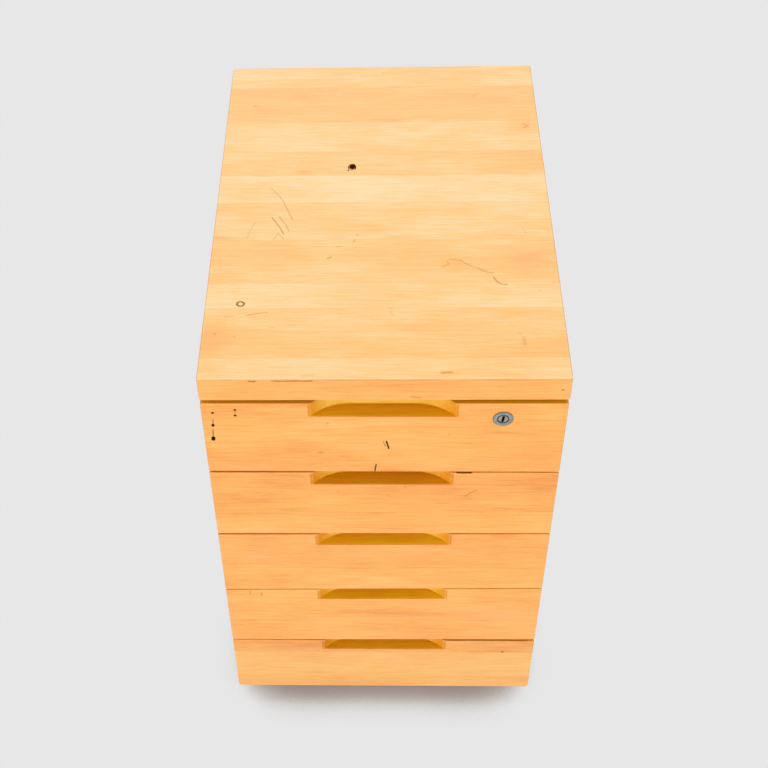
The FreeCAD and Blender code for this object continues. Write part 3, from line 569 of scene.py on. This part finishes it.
def lock_face(name):
    """Return the nickel of the lock's face: warm on the plug and dark in the joint round it.

    The keyway and the rosette's outer rim are painted with shade.
    """
    metal = Finish(name)
    axis = Vector((LOCK_AXIS.x, 0.0, LOCK_AXIS.z))
    flat = metal.vector("MULTIPLY", metal.place, (1.0, 0.0, 1.0))
    radius = metal.length(metal.vector("SUBTRACT", flat, axis))
    patches = metal.noise(metal.place, (260.0,) * 3, 3.0)
    scratches = metal.noise(metal.place, (300.0, 300.0, 2600.0), 3.0, 0.7)
    rings = [
        (0.0, (0.56, 0.50, 0.42)),
        (0.44, (0.50, 0.44, 0.36)),
        (0.50, (0.10, 0.09, 0.08)),
        (0.585, (0.10, 0.09, 0.08)),
        (0.63, (0.46, 0.50, 0.50)),
        (0.93, (0.42, 0.45, 0.45)),
        # Painted shade on the rosette's outer rim
        (0.97, (0.22, 0.17, 0.12)),
    ]
    colour = metal.ramp(metal.calc("DIVIDE", radius, ROSETTE_RADIUS), rings)
    worn = metal.span(patches, 0.40, 0.62, 0.0, 0.45)
    colour = metal.tinted(worn, colour, (0.55, 0.50, 0.42, 1.0))
    lean = math.radians(KEYWAY_LEAN)
    reach = KEYWAY_HALF * Vector((math.sin(lean), 0.0, math.cos(lean)))
    slot = metal.off_stroke(flat, [axis - reach, axis + reach])
    # Painted shade: the keyway black
    colour = metal.blend(metal.span(slot, *KEYWAY_RIM, 1.0, 0.0), colour, (0.006, 0.004, 0.002, 1.0))
    metal.surface(
        Base_Color=colour,
        Roughness=metal.calc("ADD", metal.calc("MULTIPLY", scratches, 0.20), 0.22),
        Metallic=metal.span(slot, *KEYWAY_RIM),
        Normal=metal.bump(scratches, 0.06, 0.0002),
    )
    return metal.material


def nylon(name, colour):
    """Return a castor wheel's plastic, scuffed pale where it runs."""
    nylon = Finish(name)
    grains = nylon.noise(nylon.place, (900.0,) * 3, 2.0)
    scuffs = nylon.span(nylon.noise(nylon.place, (120.0, 500.0, 500.0), 4.0, 0.7), 0.52, 0.75)
    paler = tuple(value + 0.06 for value in colour)
    nylon.surface(
        Base_Color=nylon.blend(scuffs, (*colour, 1.0), (*paler, 1.0)),
        Roughness=nylon.calc("ADD", nylon.calc("MULTIPLY", scuffs, 0.2), 0.42),
        Normal=nylon.bump(grains, 0.15, 0.0002),
    )
    return nylon.material


def merged_copy(node, name):
    """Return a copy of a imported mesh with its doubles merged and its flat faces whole."""
    mesh = frame["nodes"][node].data.copy()
    mesh.name = name
    shape = bmesh.new()
    shape.from_mesh(mesh)
    bmesh.ops.remove_doubles(shape, verts=shape.verts, dist=DOUBLES)
    bmesh.ops.dissolve_limit(shape, angle_limit=math.radians(0.4), verts=shape.verts, edges=shape.edges)
    for face in shape.faces:
        face.smooth = True
    shape.to_mesh(mesh)
    shape.free()
    if mesh.has_custom_normals:
        mesh.attributes.remove(mesh.attributes["custom_normal"])
    return place_piece(name, mesh)


def place_piece(name, data):
    """Return a new object that holds a mesh, a lamp or a camera."""
    piece = bpy.data.objects.new(name, data)
    bpy.context.scene.collection.objects.link(piece)
    return piece


def keep_shape(piece):
    """Turn what a piece's modifiers give into its plain mesh, whose flat faces shade flat."""
    shading = piece.modifiers.new("shading", "WEIGHTED_NORMAL")
    shading.weight = 90
    shading.keep_sharp = True
    shown = piece.evaluated_get(bpy.context.evaluated_depsgraph_get())
    mesh = bpy.data.meshes.new_from_object(shown)
    piece.modifiers.clear()
    piece.data = mesh


def soften(piece, width):
    """Round a piece's sharp edges and keep the result as its mesh."""
    bevel = piece.modifiers.new("edges", "BEVEL")
    bevel.width = width
    bevel.segments = 2
    bevel.limit_method = "ANGLE"
    bevel.angle_limit = math.radians(38)
    bevel.use_clamp_overlap = True
    keep_shape(piece)


def stand_for(piece, node, finish):
    """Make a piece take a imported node's place, in its body and with its material slot."""
    piece.data.materials.clear()
    piece.data.materials.append(finish)
    source = frame["nodes"][node]
    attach(piece, source["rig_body"])
    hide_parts(node)


def pull_shade_levels(number):
    """Return what Wood.shelter takes to paint shade on a drawer front."""
    low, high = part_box(f"drawer_{number}_front")
    lip = high.z - PULL_HEIGHT
    upper_left, upper_right, lower_left, lower_right = SETTLED[number]
    left = 0.9 * upper_left + 0.1 * lower_left
    right = 0.9 * upper_right + 0.1 * lower_right
    settled = (left + right) / 2, (right - left) / (high.x - low.x)
    floor = (lip - PULL_FALL, lip + LIP_RISE)
    edge = (high.z + EDGE_LEVELS[0], high.z + EDGE_LEVELS[1])
    return floor, edge, PULL_SHADE[number], *settled


def settle(piece, number):
    """Move a front's visible face to where it has settled, and its pull to where it was cut."""
    low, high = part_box(f"drawer_{number}_front")
    upper_left, upper_right, lower_left, lower_right = SETTLED[number]
    for vertex in piece.data.vertices:
        if vertex.co.y < FRONT_PLANE + SETTLED_DEPTH:
            right = (vertex.co.x - low.x) / (high.x - low.x)
            up = (vertex.co.z - low.z) / (high.z - low.z)
            upper = upper_left + (upper_right - upper_left) * right
            lower = lower_left + (lower_right - lower_left) * right
            if abs(vertex.co.x) < PULL_REACH and vertex.co.z > high.z - PULL_HEIGHT - PULL_FALL:
                vertex.co.x += PULL_SHIFT[number]
            vertex.co.z += lower + (upper - lower) * up


def chip_knot(piece):
    """Hollow the knot hole out of the top, deepest at its back and rough at its rim."""
    shape = bmesh.new()
    bmesh.ops.create_icosphere(shape, subdivisions=3, radius=1.0)
    for vertex in shape.verts:
        rough = 1.0 + 0.10 * noise.noise(vertex.co * 2.6)
        vertex.co = Vector([share * half * rough for share, half in zip(vertex.co, KNOT_HALF)])
        vertex.co.rotate(Matrix.Rotation(math.radians(-14), 3, "X"))
        vertex.co += KNOT + Vector((0.0, 0.0, 0.0004))
    mesh = bpy.data.meshes.new("knot_cutter")
    shape.to_mesh(mesh)
    shape.free()
    cutter = place_piece("knot_cutter", mesh)
    hollow = piece.modifiers.new("knot", "BOOLEAN")
    hollow.object = cutter
    hollow.solver = "EXACT"
    piece.data.set_sharp_from_angle(angle=math.radians(24))
    keep_shape(piece)
    bpy.data.objects.remove(cutter)


def screw_tree():
    """Build the node tree that sets a countersunk cross screw on every point."""
    graph = Graph(bpy.data.node_groups.new("countersunk_screws", "GeometryNodeTree"))
    graph.tree.is_modifier = True
    asked = graph.tree.interface
    asked.new_socket("Geometry", in_out="INPUT", socket_type="NodeSocketGeometry")
    for name in ("Head width", "Shank width", "Length", "Cross width", "Cross span", "Cross depth"):
        asked.new_socket(name, in_out="INPUT", socket_type="NodeSocketFloat")
    asked.new_socket("Seed", in_out="INPUT", socket_type="NodeSocketInt")
    asked.new_socket("Finish", in_out="INPUT", socket_type="NodeSocketMaterial")
    asked.new_socket("Geometry", in_out="OUTPUT", socket_type="NodeSocketGeometry")
    given = graph.node("NodeGroupInput").outputs
    head_radius = graph.calc("MULTIPLY", given["Head width"], 0.5)
    radius = graph.calc("MULTIPLY", given["Shank width"], 0.5)
    head_depth = graph.calc("SUBTRACT", head_radius, radius)
    tip_depth = given["Shank width"]

    def lower(mesh, level):
        """Move a mesh along the screw's axis."""
        sockets = {"Geometry": mesh, "Translation": graph.point(0.0, 0.0, level)}
        return graph.node("GeometryNodeTransform", sockets).outputs[0]

    def cone(top, bottom, depth):
        """Return a cone that stands on the origin."""
        sockets = {"Vertices": 28, "Radius Top": top, "Radius Bottom": bottom, "Depth": depth}
        return graph.node("GeometryNodeMeshCone", sockets).outputs["Mesh"]

    head = lower(cone(head_radius, radius, head_depth), graph.calc("MULTIPLY", head_depth, -1.0))
    shank_depth = graph.calc("SUBTRACT", graph.calc("SUBTRACT", given["Length"], head_depth), tip_depth)
    shank_level = graph.calc("SUBTRACT", tip_depth, given["Length"])
    shank = lower(cone(radius, radius, shank_depth), shank_level)
    tip = lower(cone(radius, 0.0, tip_depth), graph.calc("MULTIPLY", given["Length"], -1.0))
    whole = graph.node("GeometryNodeMeshBoolean", operation="UNION", solver="EXACT")
    for part in (head, shank, tip):
        graph.tree.links.new(part, whole.inputs["Mesh 2"])
    double_depth = graph.calc("MULTIPLY", given["Cross depth"], 2.0)
    cross = graph.node(
        "GeometryNodeMeshBoolean",
        {"Mesh 1": whole.outputs[0]},
        operation="DIFFERENCE",
        solver="EXACT",
    )
    bars = (given["Cross span"], given["Cross width"])
    for long, wide in (bars, bars[::-1]):
        size = graph.point(long, wide, double_depth)
        bar = graph.node("GeometryNodeMeshCube", {"Size": size}).outputs["Mesh"]
        graph.tree.links.new(bar, cross.inputs["Mesh 2"])

    faces = graph.node("GeometryNodeInputNamedAttribute", {"Name": "faces"}, data_type="FLOAT_VECTOR")
    upright = graph.node("FunctionNodeAlignRotationToVector", {"Vector": faces.outputs[0]}, axis="Z")
    draw = {2: 0.0, 3: 2 * math.pi, 8: given["Seed"]}
    angle = graph.node("FunctionNodeRandomValue", draw, data_type="FLOAT").outputs[1]
    turn = graph.node("FunctionNodeAxisAngleToRotation", {"Axis": (0.0, 0.0, 1.0), "Angle": angle})
    turned = graph.node(
        "FunctionNodeRotateRotation",
        {"Rotation": upright.outputs[0], "Rotate By": turn.outputs[0]},
        rotation_space="LOCAL",
    )
    driven = graph.node(
        "GeometryNodeInstanceOnPoints",
        {"Points": given["Geometry"], "Instance": cross.outputs[0], "Rotation": turned.outputs[0]},
    )
    real = graph.node("GeometryNodeRealizeInstances", {0: driven.outputs[0]})
    sockets = {"Geometry": real.outputs[0], "Material": given["Finish"]}
    coated = graph.node("GeometryNodeSetMaterial", sockets)
    graph.tree.links.new(coated.outputs[0], graph.node("NodeGroupOutput").inputs[0])
    return graph.tree


def screw_places(node):
    """Return each screw of a node: its head's middle, the way that it faces, its width and length."""
    shape = bmesh.new()
    shape.from_mesh(frame["nodes"][node].data)
    bmesh.ops.remove_doubles(shape, verts=shape.verts, dist=DOUBLES)
    places = []
    waiting = set(shape.verts)
    while waiting:
        front_line = [waiting.pop()]
        lump = []
        while front_line:
            vertex = front_line.pop()
            lump.append(vertex.co.copy())
            for edge in vertex.link_edges:
                other = edge.other_vert(vertex)
                if other in waiting:
                    waiting.remove(other)
                    front_line.append(other)
        low = Vector([min(point[i] for point in lump) for i in range(3)])
        high = Vector([max(point[i] for point in lump) for i in range(3)])
        size = high - low
        axis = max(range(3), key=lambda i: size[i])
        middle = (low + high) / 2
        lower = [point for point in lump if point[axis] < middle[axis]]
        sharp_low = all((point - middle).length < size[axis] / 2 + DOUBLES for point in lower)
        faces = Vector()
        faces[axis] = 1.0 if sharp_low else -1.0
        middle[axis] = high[axis] if sharp_low else low[axis]
        places.append((middle, faces, min(size), size[axis]))
    shape.free()
    return sorted(places, key=lambda place: tuple(round(value, 4) for value in place[0]))


def drive_screws(node, tree, seed, finish):
    """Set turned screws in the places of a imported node's screws."""
    places = screw_places(node)
    mesh = bpy.data.meshes.new(node + "_driven")
    mesh.from_pydata([place[0] for place in places], [], [])
    way = mesh.attributes.new("faces", "FLOAT_VECTOR", "POINT")
    for item, place in zip(way.data, places):
        item.vector = place[1]
    mesh.materials.append(finish)
    piece = place_piece(node + "_driven", mesh)
    width, length = places[0][2:]
    values = {
        "Head width": width,
        "Shank width": width / 2,
        "Length": length,
        "Cross width": 0.13 * width,
        "Cross span": 0.62 * width,
        "Cross depth": 0.11 * width,
        "Seed": seed,
        "Finish": finish,
    }
    nodes = piece.modifiers.new("screws", "NODES")
    nodes.node_group = tree
    for item in tree.interface.items_tree:
        if item.in_out == "INPUT" and item.name in values:
            nodes[item.identifier] = values[item.name]
    keep_shape(piece)
    stand_for(piece, node, finish)


def evenly(low, high, count):
    """Return the limits of boards of one width."""
    return tuple(low + (high - low) * i / count for i in range(count + 1))


# The wood of the top: its boards from the front edge to the back, in millimetres behind that
# edge, their tones, and the patches that are warmer or paler, with their lengths and widths
TOP_INSETS = (-1, 31, 74, 110, 151, 225, 293, 345, 394, 454, 531, 581)
TOP_LIMITS = tuple(FRONT_PLANE + inset / 1000 for inset in TOP_INSETS)
TOP_TONES = (0.64, 0.43, 0.52, 0.74, 0.51, 0.60, 0.80, 0.42, 0.65, 0.36, 0.56)
TOP_TINTS = [
    (on_top(-190, 60), 0.070, 0.070, -0.41),
    (on_top(-190, 230), 0.050, 0.012, -0.41),
    (on_top(165, 190), 0.110, 0.080, -0.30),
    (on_top(180, 445), 0.070, 0.050, -0.41),
    (on_top(-95, 353), 0.050, 0.016, -0.34),
    (on_top(15, 460), 0.080, 0.016, -0.41),
    (on_top(85, 182), 0.030, 0.026, -0.27),
    (on_top(-70, 370), 0.260, 0.110, 0.14),
    (on_top(0, 320), 0.220, 0.070, 0.16),
    (on_top(110, 505), 0.100, 0.050, -0.19),
    (on_top(60, 20), 0.200, 0.030, 0.08),
    (on_top(-101, 517), 0.040, 0.030, -0.22),
    (on_top(-162, 491), 0.020, 0.014, -0.32),
    (on_top(-97, 354), 0.028, 0.010, -0.40),
    (on_top(155, 504), 0.060, 0.030, -0.26),
    (on_top(183, 447), 0.014, 0.016, -0.40),
    (on_top(42, 438), 0.035, 0.008, -0.34),
    (on_top(169, 192), 0.050, 0.024, -0.26),
    (on_top(76, 11), 0.020, 0.012, -0.20),
]
# Marks on the top and on its front edge: the points of each stroke in millimetres, its width,
# how dark it is, and how much of it is a soft rim
TOP_STROKES = [
    (((-135.4, 321.8), (-126, 309.1), (-119, 295.3), (-112.8, 278), (-107.5, 264.6)), 0.0030, 0.43, 0.9),
    (((-131.9, 267.3), (-125.9, 256.4), (-120.8, 246.8), (-116.8, 237.3)), 0.0032, 0.60, 0.9),
    (((-123.3, 268.4), (-115.7, 255.1), (-110.5, 242)), 0.0030, 0.47, 0.9),
    (((-151.8, 258), (-156.8, 244), (-159.2, 230)), 0.0026, 0.33, 0.9),
    (((-128.3, 227.1), (-122.7, 238.8), (-116, 227)), 0.0026, 0.38, 0.9),
    (((-153.3, 99.1), (-139.7, 102.2), (-128.8, 103.8)), 0.0024, 0.53, 0.9),
    (((-176.5, 97.2), (-165.7, 98.2)), 0.0024, 0.28, 0.9),
    (((-185.3, 70),), 0.0050, 0.43, 0.9),
    (((-163.4, 65.6),), 0.0050, 0.33, 0.9),
    (((-64, 193), (-60, 195.5)), 0.0040, 0.53, 0.9),
    (((-88.6, 189.5), (-73.5, 191)), 0.0022, 0.20, 0.9),
    (((-34.5, 221.6), (-32.2, 226.2)), 0.0036, 0.38, 0.9),
    (((-30, 233.2), (-29.3, 236.7)), 0.0036, 0.33, 0.9),
    (((-82.5, 214.4), (-46.6, 214.1)), 0.0018, 0.28, 0.9),
    (((-54.3, 214.1), (-48.9, 214.1)), 0.0024, 0.43, 0.9),
    (((-82, 220.2), (-69.7, 219.1)), 0.0018, 0.22, 0.9),
    (((-146.1, 124),), 0.0040, 0.20, 0.9),
    (((-117.3, 123.8),), 0.0034, 0.22, 0.9),
    (((-125.4, 79.9), (-120, 80)), 0.0030, 0.25, 0.9),
    (((-98.8, 100.9),), 0.0036, 0.20, 0.9),
    (((-50.8, 101.6), (-44.2, 101.6)), 0.0022, 0.30, 0.9),
    (((5.9, 109.7), (10.2, 108.2)), 0.0036, 0.33, 1.0),
    (((8.7, 105), (8.7, 101.3), (12, 97)), 0.0050, 0.22, 1.0),
    (((-86, 7), (-75, 7.6)), 0.0060, 0.20, 1.0),
    (((68.5, 178), (75.5, 182.5), (74, 187)), 0.0060, 0.35, 1.0),
    (((76.9, 190.3), (89.2, 189.1), (98, 180.9), (109.9, 174.7)), 0.0030, 0.43, 0.9),
    (((109.9, 174.7), (118.7, 168.2), (125.5, 167.1)), 0.0046, 0.47, 1.0),
    (((125.8, 159.2), (129.8, 151.3), (135, 147.8), (140.1, 147.4)), 0.0042, 0.58, 1.0),
    (((149.4, 68.5),), 0.0070, 0.33, 1.0),
    (((152.5, 62), (153.3, 53)), 0.0085, 0.35, 1.0),
    (((62, 10), (72, 11)), 0.0070, 0.50, 1.0),
    (((176.1, 137.2),), 0.0046, 0.22, 1.0),
    (((138.2, 86.3),), 0.0050, 0.20, 1.0),
    (((193, 149.7),), 0.0050, 0.30, 1.0),
    (((164.9, 247.5), (168.5, 233)), 0.0026, 0.20, 0.9),
    (((179.8, 449.4), (186.8, 445.2), (180.8, 441.2)), 0.0030, 0.38, 0.9),
    (((-165.6, 493.6),), 0.0060, 0.30, 1.0),
    (((2.5, 566.2),), 0.0050, 0.33, 1.0),
    (((120, 512), (128, 516)), 0.0080, 0.18, 1.0),
]
TOP_EDGE_STROKES = [
    (((-144, 668.4), (-136.3, 668.4)), 0.0026, 0.69, 0.9),
    (((-138.4, 666.4),), 0.0034, 0.43, 0.9),
    (((-118.8, 668.4), (-76.3, 668.4)), 0.0022, 0.69, 0.9),
    (((29.8, 643.5), (38.9, 641.9)), 0.0034, 0.33, 1.0),
    (((190.4, 653.8),), 0.0044, 0.69, 1.0),
]
TURNS = [2 * math.pi * i / 10 for i in range(11)]
RING = [(-160 + 4.2 * math.cos(turn), 117.5 + 3.7 * math.sin(turn)) for turn in TURNS]
TOP_STROKES.append((RING, 0.0036, 0.82, 0.7))

# The knot hole: its middle and half sizes, and the dark grime painted over its back, which
# also paints the shade inside the hole
KNOT = on_top(-37.3, 362.2)
KNOT_HALF = (0.0052, 0.0074, 0.0036)
# Grime and painted shade at the back of the knot hole
KNOT_GRIME_AND_SHADE = [
    (((0.0002, 0.0037), (0.0006, 0.0039)), 0.0088, 1.0, 0.3),
    (((0.0040, -0.0030), (0.0044, 0.0010), (0.0034, 0.0040)), 0.0036, 1.0, 0.5),
    (((-0.0044, 0.0002), (-0.0036, 0.0030)), 0.0028, 0.95, 0.5),
    (((-0.0048, -0.0062), (-0.0046, -0.0050)), 0.0036, 1.0, 0.5),
]
TOP_MARKS = drawn(on_top, TOP_STROKES) + drawn(on_front, TOP_EDGE_STROKES) + drawn(in_knot, KNOT_GRIME_AND_SHADE)

# Each front's boards, as levels in millimetres and tones, then its marks; the strokes along
# the top edges of the second and lowest fronts paint the shade of the wider gaps above them
FRONT_BOARDS = {
    1: ((517, 700), (0.52,)),
    2: ((400, 442.5, 516), (0.52, 0.38)),
    3: ((284, 330, 400), (0.50, 0.46)),
    4: ((168, 215, 283), (0.44, 0.48)),
    5: ((50, 78, 138.5, 167), (0.54, 0.64, 0.34)),
}
FRONT_STROKES = {
    1: [
        (((-186.5, 618.2),), 0.0042, 0.98, 0.5),
        (((-187.1, 607), (-187.5, 600)), 0.0018, 0.69, 0.8),
        (((-187.8, 598.8), (-188, 597)), 0.0044, 1.0, 0.5),
        (((-188.6, 590.4), (-189.1, 580)), 0.0024, 0.60, 0.8),
        (((-189.2, 576.8), (-189.6, 574)), 0.0054, 1.0, 0.4),
        (((-161.8, 622.9),), 0.0044, 0.94, 0.5),
        (((-161.8, 622), (-162.1, 615)), 0.0014, 0.38, 0.8),
        (((-162.1, 613.9),), 0.0044, 0.94, 0.5),
        (((3.1, 570.3), (5.8, 558.5)), 0.0028, 0.95, 0.6),
        (((-0.3, 569.9), (2.2, 561.6)), 0.0018, 0.62, 0.8),
        (((-8.4, 530.4), (-9.6, 519.6)), 0.0026, 0.85, 0.6),
        (((-61.5, 600.5),), 0.0050, 0.33, 1.0),
        (((-72, 551.6), (-69, 551.4)), 0.0070, 0.20, 1.0),
        (((72.3, 581.1),), 0.0050, 0.18, 1.0),
    ],
    2: [
        # Painted shade of the wider gap above this front's right side
        (((84, 514.4, 1.2), (100, 514.4, 1.2)), 0.0030, 0.80, 0.5),
        (((94.4, 472.8), (101.1, 479.6), (107.9, 484)), 0.0022, 0.43, 0.9),
        (((101.1, 479.6),), 0.0040, 0.38, 1.0),
        (((25.4, 489.6),), 0.0060, 0.20, 1.0),
        (((5.9, 475),), 0.0050, 0.18, 1.0),
        (((-52.1, 481.7),), 0.0060, 0.15, 1.0),
        (((-69.6, 501, 9),), 0.0050, 0.40, 1.0),
    ],
    4: [
        (((-168.7, 280.0), (-169.3, 272.2)), 0.0022, 0.47, 0.9),
        (((-154.1, 275.6), (-154.5, 269.0)), 0.0022, 0.43, 0.9),
    ],
    5: [
        # Painted shade of the wider gap above this front's right side
        (((85, 165.6, 1.2), (190, 165.6, 1.2)), 0.0026, 0.45, 0.7),
        (((159.3, 140),), 0.0038, 0.95, 0.7),
    ],
}

SIDE_TONES = (0.5, 0.42, 0.56, 0.46, 0.6, 0.4, 0.52, 0.58, 0.44)
SIDE_BOARDS = (evenly(-0.262, 0.292, len(SIDE_TONES)), SIDE_TONES)
ONE_BOARD = ((0.0, 0.7), (0.5,))
PLYWOOD = {"colours": PALE_BIRCH, "figure": 0.5, "gloss": 0.55}
birch_top = wood(
    "birch_top",
    (0, 1, 2),
    (TOP_LIMITS, TOP_TONES),
    tints=TOP_TINTS,
    marks=TOP_MARKS,
    # The top's upper face takes the paler colours of painted light
    top_light=TOP_LIT_HONEY,
)
side_wood = wood("birch_side", (2, 1, 0), SIDE_BOARDS, seed=3.1)
plywood = wood("birch_plywood", (2, 0, 1), ((-0.3, 0.3), (0.5,)), seed=5.2, ply=0.0014, **PLYWOOD)
floor_ply = wood("drawer_plywood", (0, 1, 2), ((-0.4, 0.4), (0.5,)), seed=6.4, ply=0.0010, **PLYWOOD)
drawer_wood = wood("drawer_wood", (1, 2, 0), ONE_BOARD, PALE_BIRCH, seed=7.9, gloss=0.5)
cross_wood = wood("drawer_cross_wood", (0, 2, 1), ONE_BOARD, PALE_BIRCH, seed=8.8, gloss=0.5)
runner_wood = wood("runner_wood", (1, 2, 0), ONE_BOARD, BEECH, seed=9.3, gloss=0.45)
lock_metal = metal("lock_metal", (0.46, 0.48, 0.48), 0.30)
lock_nickel = lock_face("lock_nickel")
screw_steel = metal("screw_steel", (0.62, 0.60, 0.55), 0.34)
castor_steel = metal("castor_steel", (0.64, 0.65, 0.67), 0.34)
wheel_nylon = nylon("wheel_nylon", (0.030, 0.030, 0.033))

# Boards: every drawer front is softened and settled, the others only softened
for number in DRAWERS:
    levels, tones = FRONT_BOARDS[number]
    finish = wood(
        f"birch_front_{number}",
        (0, 2, 1),
        (tuple(level / 1000 for level in levels), tones),
        # The lowest front takes the honey colours dimmed as painted shade
        SHADED_HONEY if number == DRAWERS[-1] else HONEY,
        marks=drawn(on_front, FRONT_STROKES.get(number, ())),
        seed=11.3 * number,
        # Painted shade in the front's pull and on its top edge
        pull_shade=pull_shade_levels(number),
    )
    node = f"drawer_{number}_front"
    front = merged_copy(node, f"front_{number}")
    soften(front, 0.0006)
    settle(front, number)
    stand_for(front, node, finish)

top = merged_copy("top_panel", "top_board")
chip_knot(top)
stand_for(top, "top_panel", birch_top)

SOFTENED = {
    "side_panel_left": (side_wood, 0.0006),
    "side_panel_right": (side_wood, 0.0006),
    "back_panel": (plywood, 0.0004),
    "bottom_panel": (plywood, 0.0004),
    "drawer_runners": (runner_wood, 0.0005),
    "lock_rosette": (lock_nickel, 0.00012),
    "lock_plug": (lock_nickel, 0.00015),
    "lock_bolt": (lock_metal, 0.0002),
    "castor_plates": (castor_steel, 0.0002),
}
for number in DRAWERS:
    SOFTENED[f"drawer_{number}_side_left"] = (drawer_wood, 0.0004)
    SOFTENED[f"drawer_{number}_side_right"] = (drawer_wood, 0.0004)
    SOFTENED[f"drawer_{number}_divider"] = (drawer_wood, 0.0004)
    SOFTENED[f"drawer_{number}_back"] = (cross_wood, 0.0004)
for corner in CORNERS:
    SOFTENED[f"castor_{corner}_fork"] = (castor_steel, 0.0002)
for node, (finish, width) in SOFTENED.items():
    piece = merged_copy(node, node + "_softened")
    soften(piece, width)
    stand_for(piece, node, finish)

screws = screw_tree()
SCREWS = ("runner_screws", "back_screws", "castor_screws", "strike_screws", "lock_screws")
for seed, node in enumerate(SCREWS):
    drive_screws(node, screws, seed, screw_steel)

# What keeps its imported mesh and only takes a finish
PLAIN = {
    "panel_dowels": cross_wood,
    "lock_strike": lock_metal,
    "lock_case": lock_metal,
}
for number in DRAWERS:
    PLAIN[f"drawer_{number}_floor"] = floor_ply
for corner in CORNERS:
    PLAIN[f"castor_{corner}_axle"] = screw_steel
    PLAIN[f"castor_{corner}_wheel"] = wheel_nylon
for node, finish in PLAIN.items():
    mesh = frame["nodes"][node].data
    for i in range(len(mesh.materials)):
        mesh.materials[i] = finish


def make_floor():
    """Lay the pale floor, which darkens only close round the pedestal's foot."""
    mesh = bpy.data.meshes.new("studio_floor")
    reach = 6.0
    corners = [(-reach, -reach, 0), (reach, -reach, 0), (reach, reach, 0), (-reach, reach, 0)]
    mesh.from_pydata(corners, [], [(0, 1, 2, 3)])
    floor = place_piece("studio_floor", mesh)
    finish = Finish("studio_floor")
    open_sky = finish.node("ShaderNodeAmbientOcclusion", {"Distance": 0.11}, samples=16).outputs["AO"]
    shade = finish.ramp(open_sky, FLOOR_SHADE)
    seen = finish.node("ShaderNodeEmission", {"Color": shade, "Strength": 1.0}).outputs[0]
    matt = finish.node("ShaderNodeBsdfDiffuse", {"Color": (0.82, 0.82, 0.82, 1.0)}).outputs[0]
    both = finish.node("ShaderNodeMixShader", {0: finish.looked_at(), 1: matt, 2: seen}).outputs[0]
    finish.tree.links.new(both, finish.tree.nodes["Material Output"].inputs["Surface"])
    mesh.materials.append(finish.material)


def make_world(strength):
    """Fill the room with soft light, behind which the pale backdrop shows."""
    world = bpy.data.worlds.new("studio")
    bpy.context.scene.world = world
    world.use_nodes = True
    graph = Graph(world.node_tree)
    graph.tree.nodes.clear()
    sky = {"Color": (1.0, 1.0, 1.0, 1.0), "Strength": strength}
    light = graph.node("ShaderNodeBackground", sky).outputs[0]
    backdrop = graph.node("ShaderNodeBackground", {"Color": (GREY, GREY, GREY, 1.0)}).outputs[0]
    both = graph.node("ShaderNodeMixShader", {0: graph.looked_at(), 1: light, 2: backdrop}).outputs[0]
    graph.node("ShaderNodeOutputWorld", {"Surface": both})


def make_sun(name, azimuth, elevation, strength, spread, glints=True):
    """Hang a wide soft lamp; azimuth 0 is in front and 90 is on the right, in degrees.

    A lamp without glints isn't mirrored in the lacquer.
    """
    lamp = bpy.data.lights.new(name, "SUN")
    lamp.energy = strength
    lamp.angle = math.radians(spread)
    holder = place_piece(name, lamp)
    holder.visible_glossy = glints
    around, up = math.radians(azimuth), math.radians(elevation)
    towards = Vector((math.sin(around) * math.cos(up), -math.cos(around) * math.cos(up), math.sin(up)))
    holder.rotation_euler = towards.to_track_quat("Z", "Y").to_euler()


def make_camera():
    """Stand the camera where the photograph was taken from."""
    camera = bpy.data.cameras.new("camera")
    camera.sensor_width = 36.0
    camera.lens = 64.477
    camera.shift_x = 0.0753
    camera.shift_y = -0.0119
    camera.clip_end = 50.0
    holder = place_piece("camera", camera)
    pitch, yaw, roll = (math.radians(angle) for angle in (46.469, -3.039, -2.360))
    ahead = Vector((math.sin(yaw) * math.cos(pitch), math.cos(yaw) * math.cos(pitch), -math.sin(pitch)))
    level = Vector((math.cos(yaw), -math.sin(yaw), 0.0))
    upward = level.cross(ahead)
    right = math.cos(roll) * level + math.sin(roll) * upward
    above = math.cos(roll) * upward - math.sin(roll) * level
    turn = Matrix((right, above, -ahead)).transposed().to_4x4()
    holder.matrix_world = Matrix.Translation((-0.0077, -1.2895, 1.7316)) @ turn
    bpy.context.scene.camera = holder


make_floor()
make_world(0.36)
make_sun("back_light", azimuth=180.0, elevation=46.0, strength=0.80, spread=44.0)
make_sun("overhead_light", azimuth=0.0, elevation=76.0, strength=1.10, spread=60.0)
make_sun("front_light", azimuth=-8.0, elevation=17.0, strength=1.55, spread=40.0, glints=False)
make_camera()
bpy.context.scene.view_settings.view_transform = "Standard"
